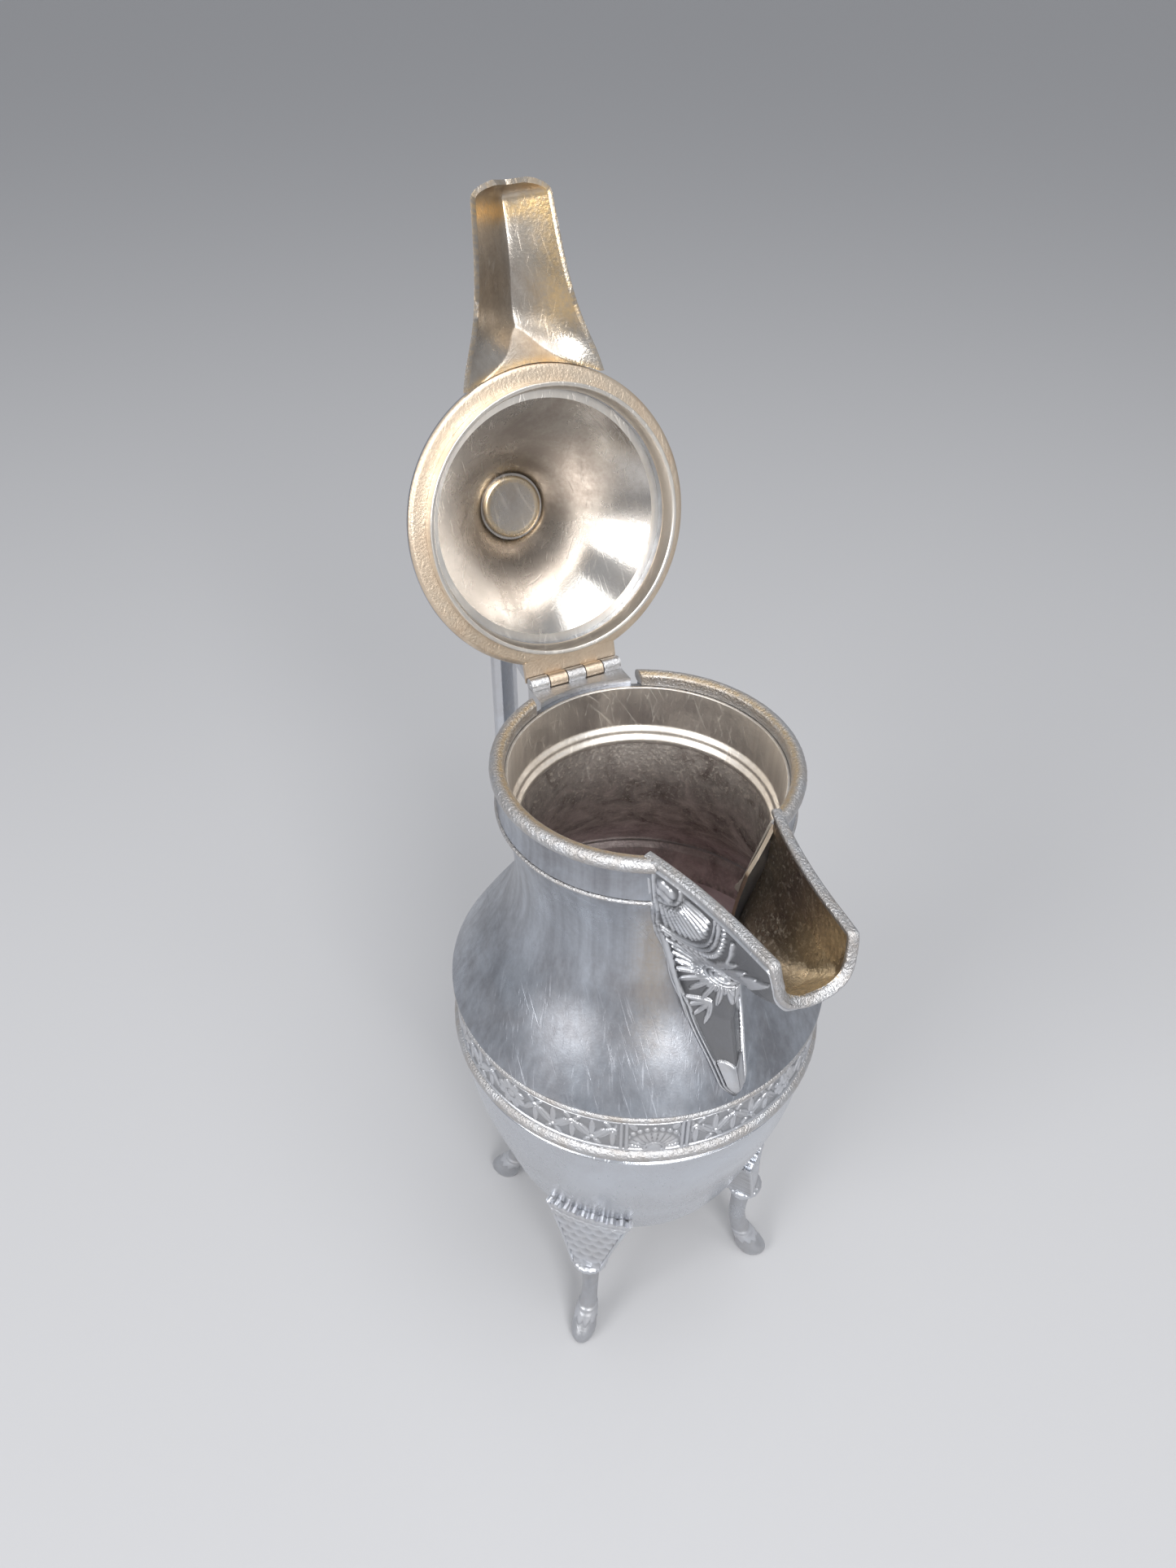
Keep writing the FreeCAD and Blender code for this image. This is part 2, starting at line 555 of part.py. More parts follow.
def rect(x0, x1, half, z):
    points = [V(x0, -half, z), V(x1, -half, z), V(x1, half, z), V(x0, half, z)]
    return Part.Wire(polygon(points))


def oval(x, z, long_r, short_r):
    """Level ellipse with its long axis pointing out from the pot."""
    return Part.Wire([Part.Ellipse(V(x, 0, z), long_r, short_r).toShape()])


def foot_fan():
    """Bracket that widens upwards and lies on the bowl."""
    fan_r = BOWL_LOW_R + FOOT_FAN_T
    low = rect(FOOT_NECK_R - FOOT_NECK_HALF, FOOT_NECK_R + FOOT_NECK_HALF, FOOT_NECK_HALF, FOOT_NECK_Z)
    high = rect(BOWL_TURN_R, fan_r + FOOT_FAN_T, FOOT_FAN_HALF, FOOT_FAN_TOP_Z)
    round_face = Part.makeCylinder(fan_r + FOOT_FAN_T / 2, FOOT_FAN_TOP_Z)
    return Part.makeLoft([low, high], True, True).common(round_face).cut(bowl_body(-SEAM))


def leg():
    """Slender bowed leg that ends in a hoof-shaped toe."""
    top_z = FOOT_NECK_Z - FOOT_RING_H / 2
    way = FOOT_TOE_R - FOOT_NECK_R
    rows = zip(LEG_LEVELS, LEG_PLACES, LEG_LONGS, LEG_SHORTS)
    return Part.makeLoft([oval(FOOT_NECK_R + way * place, top_z * level, long_r, short_r)
                          for level, place, long_r, short_r in rows], True, False)


def foot(angle):
    """Cast foot: fan bracket on the bowl, ring, leg and toe."""
    ring = Part.makeCylinder(FOOT_RING_R, FOOT_RING_H, V(FOOT_NECK_R, 0, FOOT_NECK_Z - FOOT_RING_H))
    ring = ring.makeFillet(FOOT_RING_EASE, ring.Edges)
    piece = foot_fan().fuse(ring).fuse(leg()).removeSplitter()
    piece.rotate(V(0, 0, 0), UP, angle)
    return piece


def handle_line():
    """Corner points of the handle's centre line: upper root, two bends, lower root."""
    top = V(-NECK_WAIST_R, 0, ARM_ROOT_Z)
    low = V(-BOWL_HIGH_R, 0, ARM_LOW_ROOT_Z)
    return top, V(-GRIP_REACH, 0, ARM_TOP_Z), V(-GRIP_REACH, 0, GRIP_LOW_Z), low


def grip_section(centre, along):
    """Flat-sided section with eased corners, square to the direction along."""
    half_w = GRIP_W / 2
    half_t = GRIP_T / 2
    across = along.cross(V(0, 1, 0)).normalize()
    shape = [(half_w - GRIP_EASE, -half_t), (half_w, GRIP_EASE - half_t),
             (half_w, half_t - GRIP_EASE), (half_w - GRIP_EASE, half_t)]
    ring = shape + [(-w, t) for w, t in shape[::-1]]
    points = [centre + V(0, w, 0) + across * t for w, t in ring]
    return Part.Wire(polygon(points))


def socket_end(root, along):
    """Point where a socket ends and the handle begins."""
    return root + along * (SOCKET_H + WALL)


def handle_grip():
    """Bracket handle: two arms and a straight upright grip on one bent line."""
    top, high, low_bend, low = handle_line()
    out_top = (high - top).normalize()
    out_low = (low_bend - low).normalize()
    start = socket_end(top, out_top) + out_top * SEAM
    finish = socket_end(low, out_low) + out_low * SEAM
    a0, a1, a2 = rounded_corner(start, high, low_bend, BEND_TOP_R)
    b0, b1, b2 = rounded_corner(high, low_bend, finish, BEND_LOW_R)
    path = Part.Wire([line(start, a0), arc(a0, a1, a2), line(a2, b0), arc(b0, b1, b2), line(b2, finish)])
    return path.makePipeShell([grip_section(start, out_top)], True, False)


def socket(root, along, body):
    """Round seat of the handle on the body, with a bead round its foot."""
    length = 2 * SOCKET_H + WALL
    barrel = Part.makeCylinder(SOCKET_R, length, root - along * SOCKET_H, along)
    bead = Part.makeTorus(SOCKET_R, SOCKET_BEAD, root + along * (SOCKET_H + WALL - SOCKET_BEAD), along)
    seat = barrel.fuse(bead).cut(body)
    end = socket_end(root, along)
    return seat.cut(Part.makeCylinder(4 * SOCKET_R, SOCKET_H, end, along))


def handle_upper_socket():
    top, high, _, _ = handle_line()
    return socket(top, (high - top).normalize(), neck_body(-SEAM))


def handle_lower_socket():
    _, _, low_bend, low = handle_line()
    return socket(low, (low_bend - low).normalize(), bowl_body(-SEAM)).cut(lower_bead())


def barrel_piece(index, radius, gap):
    """Cylinder over one knuckle's share of the hinge line, shortened by gap."""
    y0 = -BARREL_L / 2 + index * BARREL_STEP + gap / 2
    return Part.makeCylinder(radius, BARREL_STEP - gap, V(HINGE_X, y0, HINGE_Z), V(0, 1, 0))


def knuckle_set(indices, radius, gap):
    pieces = [barrel_piece(i, radius, gap) for i in indices]
    return pieces[0].fuse(pieces[1:])


def pin_bore(radius):
    return Part.makeCylinder(radius, 2 * BARREL_L, V(HINGE_X, -BARREL_L, HINGE_Z), V(0, 1, 0))


POT_KNUCKLES = range(0, KNUCKLES, 2)
LID_KNUCKLES = range(1, KNUCKLES, 2)


def hinge_body_leaf():
    """Block in the notch of the mouth, with the outer and middle knuckles."""
    block = box(HINGE_X - KNUCKLE_R / 2, -MOUTH_WALL_R / 2, BARREL_L / 2,
                HINGE_Z - KNUCKLE_R - BODY_LEAF_H, HINGE_Z - KNUCKLE_R / 2)
    block = block.cut(Part.makeCylinder(MOUTH_WALL_R + SEAM, 2 * RIM_TOP_Z))
    leaf = block.fuse(knuckle_set(POT_KNUCKLES, KNUCKLE_R, KNUCKLE_GAP))
    leaf = leaf.cut(knuckle_set(LID_KNUCKLES, KNUCKLE_R + SWING_GAP, -KNUCKLE_GAP))
    return leaf.cut(pin_bore(PIN_R)).removeSplitter()


def hinge_pin():
    return Part.makeCylinder(PIN_R, BARREL_L, V(HINGE_X, -BARREL_L / 2, HINGE_Z), V(0, 1, 0))


def leaf_plate(extra):
    """Plate of the lid leaf, lying level with the flange."""
    inner_x = LEAF_LAP - FLANGE_R
    return box(HINGE_X, inner_x + extra, BARREL_L / 2 + extra, FLANGE_Z - extra, FLANGE_Z + LEAF_T + extra)


def opened(shape):
    """Turn a piece of the lid from closed to the stored open pose."""
    shape.rotate(V(HINGE_X, 0, HINGE_Z), V(0, 1, 0), -LID_OPEN_DEG)
    return shape


def hinge_lid_leaf():
    leaf = leaf_plate(0).fuse(knuckle_set(LID_KNUCKLES, KNUCKLE_R, KNUCKLE_GAP))
    leaf = leaf.cut(knuckle_set(POT_KNUCKLES, KNUCKLE_R + SWING_GAP, -KNUCKLE_GAP))
    return leaf.cut(pin_bore(PIN_R + PIN_PLAY)).removeSplitter()


def lid_flange():
    """Rounded ring that lies on the rim."""
    z0 = FLANGE_Z
    z1 = FLANGE_Z + FLANGE_H
    ease = FLANGE_EASE
    edges = [line(at(FLANGE_IN_R, z0), at(FLANGE_R - ease, z0)),
             arc(at(FLANGE_R - ease, z0), at(FLANGE_R, (z0 + z1) / 2), at(FLANGE_R - ease, z1)),
             line(at(FLANGE_R - ease, z1), at(FLANGE_IN_R, z1)),
             line(at(FLANGE_IN_R, z1), at(FLANGE_IN_R, z0))]
    return turned(edges).cut(leaf_plate(SEAM))


def lid_bezel():
    """Short collar below the flange that drops into the mouth."""
    z0 = FLANGE_Z - BEZEL_DROP
    z1 = FLANGE_Z - SEAM
    points = [at(BEZEL_R, z0), at(BEZEL_R, z1), at(FLANGE_IN_R, z1), at(BEZEL_R - BEZEL_T, z0)]
    return turned(polygon(points))


def dome_curve(inset):
    """Ogee of the dome from its foot on the flange to the edge of its flat top."""
    foot_z = FLANGE_Z + FLANGE_H + SEAM
    return [at(DOME_BASE_R - inset, foot_z), at(DOME_KNEE_R - inset, FLANGE_Z + DOME_KNEE_H - inset * 0.5),
            at(DOME_HIP_R - inset, FLANGE_Z + DOME_HIP_H - inset * 0.6),
            at(APEX_R - inset * 0.4, FLANGE_Z + DOME_H - inset)]


def dome_body(inset):
    curve = dome_curve(inset)
    low = at(0, curve[0].z)
    top = at(0, curve[-1].z)
    return turned([spline(curve), line(curve[-1], top), line(top, low), line(low, curve[0])])


def stud_hole():
    return Part.makeCylinder(STUD_R + SEAM, DOME_H, V(0, 0, FLANGE_Z + DOME_H / 2))


def lid_dome():
    """Spun dome with a narrow foot that is soldered on the flange."""
    foot_z = FLANGE_Z + FLANGE_H + SEAM
    foot_ring = disc_ring(DOME_BASE_R - DOME_WALL, FLANGE_IN_R + 2 * DOME_WALL, foot_z, foot_z + DOME_WALL)
    return dome_body(0).cut(dome_body(DOME_WALL)).fuse(foot_ring).cut(stud_hole()).removeSplitter()


def apex_plate():
    z1 = FLANGE_Z + DOME_H - DOME_WALL - SEAM
    disc = Part.makeCylinder(APEX_PLATE_R, APEX_PLATE_T, V(0, 0, z1 - APEX_PLATE_T))
    return disc.common(dome_body(DOME_WALL + SEAM)).cut(stud_hole())


def finial_base():
    """Round step under the knob, with a hollow side."""
    z0 = FLANGE_Z + DOME_H + SEAM
    z1 = z0 + FINIAL_BASE_H
    edge_z = z0 + FINIAL_BASE_EDGE
    mid_r = (FINIAL_BASE_R + FINIAL_NECK_R) / 2
    hollow = at(mid_r - FINIAL_BASE_HOLLOW, (edge_z + z1) / 2 - FINIAL_BASE_HOLLOW)
    edges = [line(at(0, z0), at(FINIAL_BASE_R, z0)), line(at(FINIAL_BASE_R, z0), at(FINIAL_BASE_R, edge_z)),
             arc(at(FINIAL_BASE_R, edge_z), hollow, at(FINIAL_NECK_R, z1)),
             line(at(FINIAL_NECK_R, z1), at(0, z1)), line(at(0, z1), at(0, z0))]
    return turned(edges).cut(stud_hole())


def finial_knob():
    """Turned bud on a short stem."""
    z0 = FLANGE_Z + DOME_H + FINIAL_BASE_H + 2 * SEAM
    stem_z = z0 + FINIAL_STEM_H
    bud_z = stem_z + FINIAL_BUD_H
    cap_z = bud_z + FINIAL_CAP_H
    top_z = cap_z + FINIAL_TIP_H
    curve = [at(FINIAL_STEM_R, z0), at(FINIAL_STEM_R, stem_z), at(FINIAL_KNOB_R, bud_z),
             at(FINIAL_STEM_R, cap_z), at(FINIAL_TIP_R, top_z)]
    top = at(0, top_z)
    edges = [line(at(0, z0), curve[0]), spline(curve), line(curve[-1], top), line(top, at(0, z0))]
    return turned(edges).cut(stud_hole())


def finial_stud():
    """Stud that holds the finial, from the plate inside the dome up into the knob."""
    z0 = FLANGE_Z + DOME_H - DOME_WALL - APEX_PLATE_T - SEAM
    return Part.makeCylinder(STUD_R, APEX_PLATE_T + DOME_WALL + FINIAL_BASE_H + STUD_REACH, V(0, 0, z0))


def roof_wire(x, half, height, inset):
    """Roof-shaped section of the hood, falling from the ridge to both edges."""
    points = [V(x, (half - inset) * s, FLANGE_Z + (height - inset) * (1 - abs(s) ** ROOF_POWER))
              for s in ROOF_SHARES]
    return Part.Wire([spline(points), line(points[-1], points[0])])


def hood_body(inset):
    """Roof through its sections, from over the flange to the rounded end."""
    hip_half = (HOOD_ROOT_HALF + HOOD_MID_HALF) / 2
    wires = [roof_wire(FLANGE_R - HOOD_LAP, HOOD_ROOT_HALF + HOOD_ROOT_FLARE, HOOD_ROOT_H + inset, inset),
             roof_wire(FLANGE_R, HOOD_ROOT_HALF, HOOD_EDGE_H + inset / 2, inset),
             roof_wire(HOOD_HIP_X, hip_half, HOOD_HIP_H, inset),
             roof_wire(HOOD_MID_X, HOOD_MID_HALF, (HOOD_HIP_H + HOOD_TIP_H) / 2, inset),
             roof_wire(HOOD_TIP_X, HOOD_TIP_HALF, HOOD_TIP_H, inset)]
    return Part.makeLoft(wires, True, False)


def spout_hood():
    shell = hood_body(0).cut(hood_body(HOOD_WALL))
    return shell.cut(Part.makeCylinder(FLANGE_R + SEAM, 2 * RIM_TOP_Z))


def nose_body(inset):
    """Rounded end of the hood: sections shrink towards the nose."""
    x0 = HOOD_TIP_X + SEAM
    length = HOOD_NOSE - SEAM - inset
    wires = [roof_wire(x0 + length * s, HOOD_TIP_HALF * k, HOOD_TIP_H * k, inset)
             for s, k in zip(NOSE_PLACES, NOSE_SHARES)]
    return Part.makeLoft(wires, True, False)


def hood_tip():
    return nose_body(0).cut(nose_body(HOOD_WALL))


def feet():
    names = ["foot_front_left", "foot_rear_left", "foot_rear_right", "foot_front_right"]
    step = 360 / FOOT_COUNT
    return {name: foot(step / 2 + i * step) for i, name in enumerate(names)}


def pot_pieces():
    pieces = {"bowl_shell": bowl_shell(), "base_disc": base_disc(), "neck_shell": neck_shell(),
              "frieze_band": frieze_band(), "upper_bead": upper_bead(), "lower_bead": lower_bead(),
              "neck_collar": neck_collar(), "collar_bead": collar_bead(), "rim_wire": rim_wire(),
              "mouth_collar": mouth_collar(), "lip_bead": lip_bead(),
              "spout_left": spout_cheek(1), "spout_right": spout_cheek(-1),
              "handle_grip": handle_grip(), "handle_upper_socket": handle_upper_socket(),
              "handle_lower_socket": handle_lower_socket(),
              "hinge_body_leaf": hinge_body_leaf(), "hinge_pin": hinge_pin()}
    pieces.update(feet())
    return pieces


def lid_pieces():
    pieces = {"lid_dome": lid_dome(), "lid_flange": lid_flange(), "lid_bezel": lid_bezel(),
              "apex_plate": apex_plate(), "finial_base": finial_base(), "finial_knob": finial_knob(),
              "finial_stud": finial_stud(), "spout_hood": spout_hood(), "hood_tip": hood_tip(),
              "hinge_lid_leaf": hinge_lid_leaf()}
    return {name: opened(shape) for name, shape in pieces.items()}


def export_all():
    os.makedirs("parts", exist_ok=True)
    pieces = pot_pieces()
    pieces.update(lid_pieces())
    for name, shape in pieces.items():
        print(name, len(shape.Solids), shape.isValid(), round(shape.Volume, 1))
        shape.exportStep("parts/" + name + ".step")


export_all()
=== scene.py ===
# %% [markdown]
# # A worn silver coffee pot
#
# The pot stands on four cast feet, with a spun bowl, a narrow frieze, a waisted neck, a beaked
# spout covered in relief and a hinged lid that hangs open behind the mouth. The CAD frame already
# holds every piece in its place. Here each piece gets the surface a silversmith gave it: turned
# walls with a little unevenness, chased leaves and scales, and old polish with dark hollows.
#
# Lengths below are written in millimetres, because that is how the pot was measured. They become
# metres only when a mesh is made.

# %% Load the shared frame
import math

import bmesh
import bpy
import numpy as np
from mathutils import Matrix


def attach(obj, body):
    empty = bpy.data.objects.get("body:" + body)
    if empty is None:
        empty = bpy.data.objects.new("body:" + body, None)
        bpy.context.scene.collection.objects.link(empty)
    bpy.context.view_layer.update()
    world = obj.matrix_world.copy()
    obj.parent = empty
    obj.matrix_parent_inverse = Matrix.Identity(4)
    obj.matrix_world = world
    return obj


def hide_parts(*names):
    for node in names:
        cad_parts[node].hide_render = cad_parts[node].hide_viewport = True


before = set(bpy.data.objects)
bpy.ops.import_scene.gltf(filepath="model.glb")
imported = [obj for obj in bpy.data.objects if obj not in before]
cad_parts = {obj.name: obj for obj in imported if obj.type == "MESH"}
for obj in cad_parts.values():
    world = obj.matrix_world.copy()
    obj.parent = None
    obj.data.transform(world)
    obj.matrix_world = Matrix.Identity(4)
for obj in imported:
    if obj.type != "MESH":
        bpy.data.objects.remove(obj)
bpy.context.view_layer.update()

# %% [markdown]
# ## Curves through measured points
#
# A turner checks a profile at a few places and lets the tool sweep smoothly between them. A
# natural spline does the same: it passes through each measured place, and its slope and bend run
# on from one span to the next. The places along it are counted by the length of the chords.

# %% Smooth curves
MM = 0.001
TURN = 2 * np.pi


def natural_spline(knots, values, places):
    """Cubic spans through the values, with no bend at the two ends."""
    n = len(knots)
    span = np.diff(knots)
    rows = np.arange(1, n - 1)
    system = np.eye(n)
    system[rows, rows - 1] = span[:-1]
    system[rows, rows] = 2 * (span[:-1] + span[1:])
    system[rows, rows + 1] = span[1:]
    right = np.zeros_like(values)
    right[1:-1] = 6 * np.diff(np.diff(values, axis=0) / span[:, None], axis=0)
    bend = np.linalg.solve(system, right)
    k = np.clip(np.searchsorted(knots, places) - 1, 0, n - 2)
    b = ((places - knots[k]) / span[k])[:, None]
    a = 1 - b
    lift = ((a ** 3 - a) * bend[k] + (b ** 3 - b) * bend[k + 1]) * (span[k] ** 2)[:, None] / 6
    return a * values[k] + b * values[k + 1] + lift


def curve_through(points, count):
    """Points at even chord lengths along a natural spline through the given points."""
    points = np.asarray(points, float)
    knots = np.r_[0, np.cumsum(np.linalg.norm(np.diff(points, axis=0), axis=1))]
    return natural_spline(knots, points, np.linspace(0, knots[-1], count))


def soften(points, reach, steps=5):
    """Closed outline whose corners become short parabolas, each starting `reach` from its corner."""
    points = np.asarray(points, float)
    reach = np.broadcast_to(reach, len(points))[:, None]
    before = np.roll(points, 1, axis=0) - points
    after = np.roll(points, -1, axis=0) - points
    len_b = np.linalg.norm(before, axis=1, keepdims=True)
    len_a = np.linalg.norm(after, axis=1, keepdims=True)
    start = points + before / len_b * np.minimum(reach, 0.48 * len_b)
    end = points + after / len_a * np.minimum(reach, 0.48 * len_a)
    t = np.linspace(0, 1, steps)[None, :, None]
    arcs = (1 - t) ** 2 * start[:, None] + 2 * t * (1 - t) * points[:, None] + t ** 2 * end[:, None]
    return arcs.reshape(-1, 2)


waist = curve_through([(54.4, 141.2), (46.4, 154), (38.4, 167), (34.7, 183), (37.2, 202)], 160)
print("waist is narrowest at", waist[waist[:, 0].argmin()].round(1), "mm")

# %% [markdown]
# ## From grids to meshes
#
# Every new piece is a surface that depends on two parameters, worked out as a whole grid of points.
# A sheet is such a grid with a few facts about it: whether it closes on itself, how high its relief
# stands, and which finish it takes. Several sheets make one piece. Doubled points at seams and
# poles are merged, faces are turned outwards, and two numbers stay on every point: `relief`, from 0
# in the bottom of a hollow to 1 on the high places that polishing reaches, and `tint`, where the
# colour turns warmer: from old solder and stains, and in a few places from painted highlights and
# painted light.

# %% Sheets and pieces
def sheet(points, wrap=(False, False), relief=1.0, tint=0.0, finish=0, caps=()):
    """One grid of points with its closing, relief, tint and finish."""
    shape = points.shape[:2]
    return {"points": points, "wrap": wrap, "finish": finish, "caps": caps,
            "relief": np.broadcast_to(relief, shape), "tint": np.broadcast_to(tint, shape)}


def turned_sheet(points, **facts):
    """A sheet that closes on itself round the axis."""
    return sheet(points, wrap=(False, True), **facts)


def rod_sheet(points, **facts):
    """A sheet that closes round its section, with a flat face at each end."""
    return sheet(points, wrap=(True, False), caps=("col0", "col1"), **facts)


def edge_strips(front, back, **facts):
    """The four strips that join the edges of two equal grids."""
    edges = (np.s_[0, :], np.s_[-1, :], np.s_[:, 0], np.s_[:, -1])
    return [sheet(np.stack([front[edge], back[edge]]), **facts) for edge in edges]


def grid_quads(rows, cols, wrap):
    """Four corners of every cell, as numbers into the flattened grid."""
    i, j = np.meshgrid(np.arange(rows - (not wrap[0])), np.arange(cols - (not wrap[1])), indexing="ij")
    i1, j1 = (i + 1) % rows, (j + 1) % cols
    return np.stack([i * cols + j, i1 * cols + j, i1 * cols + j1, i * cols + j1], -1).reshape(-1, 4)


def cap_loop(rows, cols, edge):
    """Point numbers along one edge of the grid, which a single face closes."""
    index = np.arange(rows * cols).reshape(rows, cols)
    return {"row0": index[0], "row1": index[-1][::-1], "col0": index[:, 0], "col1": index[::-1, -1]}[edge]


def gather(sheets):
    """Points, faces, finish numbers, relief and tint of all sheets together."""
    points, faces, finishes, relief, tint = [], [], [], [], []
    start = 0
    for s in sheets:
        rows, cols = s["points"].shape[:2]
        new = (grid_quads(rows, cols, s["wrap"]) + start).tolist()
        new += [(cap_loop(rows, cols, edge) + start).tolist() for edge in s["caps"]]
        faces += new
        finishes += [s["finish"]] * len(new)
        points.append(s["points"].reshape(-1, 3))
        relief.append(s["relief"].ravel())
        tint.append(s["tint"].ravel())
        start += rows * cols
    return np.concatenate(points), faces, finishes, np.concatenate(relief), np.concatenate(tint)


def close_up(mesh):
    """Merge doubled points, drop empty faces and turn the rest outwards."""
    bm = bmesh.new()
    bm.from_mesh(mesh)
    bmesh.ops.remove_doubles(bm, verts=bm.verts, dist=2e-6)
    bmesh.ops.dissolve_degenerate(bm, edges=bm.edges, dist=1e-6)
    bmesh.ops.recalc_face_normals(bm, faces=bm.faces)
    if bm.calc_volume(signed=True) < 0:
        bmesh.ops.reverse_faces(bm, faces=bm.faces)
    open_edges = sum(not e.is_manifold for e in bm.edges)
    bm.to_mesh(mesh)
    bm.free()
    return open_edges


def make_piece(name, sheets, body, finishes, nodes, crease=42):
    """A named object from its sheets, riding on a body in place of CAD nodes."""
    points, faces, numbers, relief, tint = gather(sheets)
    mesh = bpy.data.meshes.new(name)
    mesh.from_pydata((points * MM).tolist(), [], faces)
    mesh.polygons.foreach_set("material_index", numbers)
    mesh.attributes.new("relief", "FLOAT", "POINT").data.foreach_set("value", relief.astype(np.float32))
    mesh.attributes.new("tint", "FLOAT", "POINT").data.foreach_set("value", tint.astype(np.float32))
    open_edges = close_up(mesh)
    mesh.shade_smooth()
    mesh.set_sharp_from_angle(angle=math.radians(crease))
    for finish in finishes:
        mesh.materials.append(finish)
    piece = bpy.data.objects.new(name, mesh)
    bpy.context.scene.collection.objects.link(piece)
    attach(piece, body)
    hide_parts(*nodes)
    print(f"{name}: {len(mesh.polygons)} faces, {open_edges} open edges")
    return piece


# %% [markdown]
# ## Turned shapes
#
# Bowls, rings and wires are all a profile swept round the axis. A profile is a list of radius and
# height. The start and end angle may differ from row to row, which is how a slot or a gap is left
# open. A hand-raised wall is never quite true, so a few long waves of less than a tenth of a
# millimetre are added to its radius, and the reflections wander as they do on old silver.

# %% Turning helpers
def unit(v):
    """The same directions, each with a length of one."""
    v = np.asarray(v, float)
    return v / np.linalg.norm(v, axis=-1, keepdims=True)


def angle_of(points):
    """Angle of each point about the axis."""
    return np.arctan2(points[..., 1], points[..., 0])


def round_axis(r, angle, z):
    """Places with a radius, an angle and a height: r * cosine, r * sine, z."""
    return np.stack([r * np.cos(angle), r * np.sin(angle), z + 0 * angle], -1)


def swept(profile, cols, start=0.0, end=TURN):
    """Grid of a profile turned round the axis, from a start to an end angle for each row."""
    profile = np.asarray(profile, float)
    start = np.broadcast_to(start, len(profile))[:, None]
    end = np.broadcast_to(end, len(profile))[:, None]
    full = np.allclose(end - start, TURN)
    angle = start + (end - start) * np.linspace(0, 1, cols, endpoint=not full)[None, :]
    return round_axis(profile[:, :1], angle, profile[:, 1:2])


def hand_waves(points, height):
    """Long uneven waves of a wall raised by hand, in millimetres."""
    angle, z = angle_of(points), points[..., 2]
    waves = (np.sin(3 * angle + z / 17) + 0.8 * np.sin(5 * angle - z / 11 + 1.3)
             + 0.6 * np.sin(8 * angle + z / 7 + 0.4) + 0.5 * np.sin(z / 5 + 2 * angle))
    return height * waves / 2.9


def push_out(points, depth):
    """Move points away from the axis by depth."""
    r = np.maximum(np.hypot(points[..., 0], points[..., 1]), 1e-6)
    scale = 1 + depth / r
    return np.stack([points[..., 0] * scale, points[..., 1] * scale, points[..., 2]], -1)


print("a profile of 2 places in 8 steps gives a grid of", swept([(1, 0), (1, 1)], 8).shape)

# %% [markdown]
# ## Shader helpers
#
# Every finish below is built from the same few nodes, so short functions place them. The first adds
# a node with its settings, and either fills or links each input. Each of the others adds one kind: a
# ramp of colours, a noise, a change of span, a mix, a sum, or an empty group with named sockets.

# %% Node helpers
def add_node(tree, kind, inputs=None, **settings):
    """A node whose inputs are either plain values or links from other sockets."""
    node = tree.nodes.new(kind)
    for key, value in settings.items():
        setattr(node, key, value)
    for key, value in (inputs or {}).items():
        if isinstance(value, bpy.types.NodeSocket):
            tree.links.new(value, node.inputs[key])
        else:
            node.inputs[key].default_value = value
    return node


def ramp(tree, value, stops):
    """Colour ramp over a value; each stop is a place and a colour."""
    node = add_node(tree, "ShaderNodeValToRGB", {"Fac": value})
    band = node.color_ramp
    while len(band.elements) < len(stops):
        band.elements.new(0.5)
    for element, (place, colour) in zip(band.elements, stops):
        element.position = place
        element.color = (*colour, 1)
    return node.outputs["Color"]


def scaled(tree, vector, sizes):
    """A coordinate stretched by three factors."""
    return add_node(tree, "ShaderNodeVectorMath", {0: vector, 1: sizes}, operation="MULTIPLY").outputs[0]


def grain(tree, vector, scale, detail=4.0, rough=0.55, warp=0.0):
    """Fractal noise from 0 to 1."""
    return add_node(tree, "ShaderNodeTexNoise", {"Vector": vector, "Scale": scale, "Detail": detail,
                                                 "Roughness": rough, "Distortion": warp}).outputs["Fac"]


def spread(tree, value, low, high, to_low=0.0, to_high=1.0):
    """Value stretched from one span to another and held at its ends."""
    return add_node(tree, "ShaderNodeMapRange", {"Value": value, "From Min": low, "From Max": high,
                                                 "To Min": to_low, "To Max": to_high}).outputs["Result"]


def blend(tree, share, a, b, way="MIX"):
    """Mix of two colours."""
    node = add_node(tree, "ShaderNodeMix", {0: share, 6: a, 7: b}, data_type="RGBA", blend_type=way)
    return node.outputs[2]


def sums(tree, a, b, way="ADD"):
    """One arithmetic step on two values."""
    return add_node(tree, "ShaderNodeMath", {0: a, 1: b}, operation=way).outputs[0]


def new_group(name, inputs, outputs):
    """Empty shader node group with named sockets."""
    group = bpy.data.node_groups.new(name, "ShaderNodeTree")
    kinds = {"c": "NodeSocketColor", "f": "NodeSocketFloat", "v": "NodeSocketVector"}
    for label, kind in inputs:
        group.interface.new_socket(label, in_out="INPUT", socket_type=kinds[kind])
    for label, kind in outputs:
        group.interface.new_socket(label, in_out="OUTPUT", socket_type=kinds[kind])
    return group, group.nodes.new("NodeGroupInput").outputs, group.nodes.new("NodeGroupOutput").inputs


# %% [markdown]
# ## Old polish
#
# Silver that is cleaned by hand keeps its traces. Cloth leaves hairlines in every direction, fingers
# and damp leave cloudy patches that turn brown, and drips leave soft upright streaks. Each of these
# is a node group, so that all finishes share it. The hollows of a relief stay dark as well, because
# the cloth never gets into them, and the finishes read that from the number kept on every point.

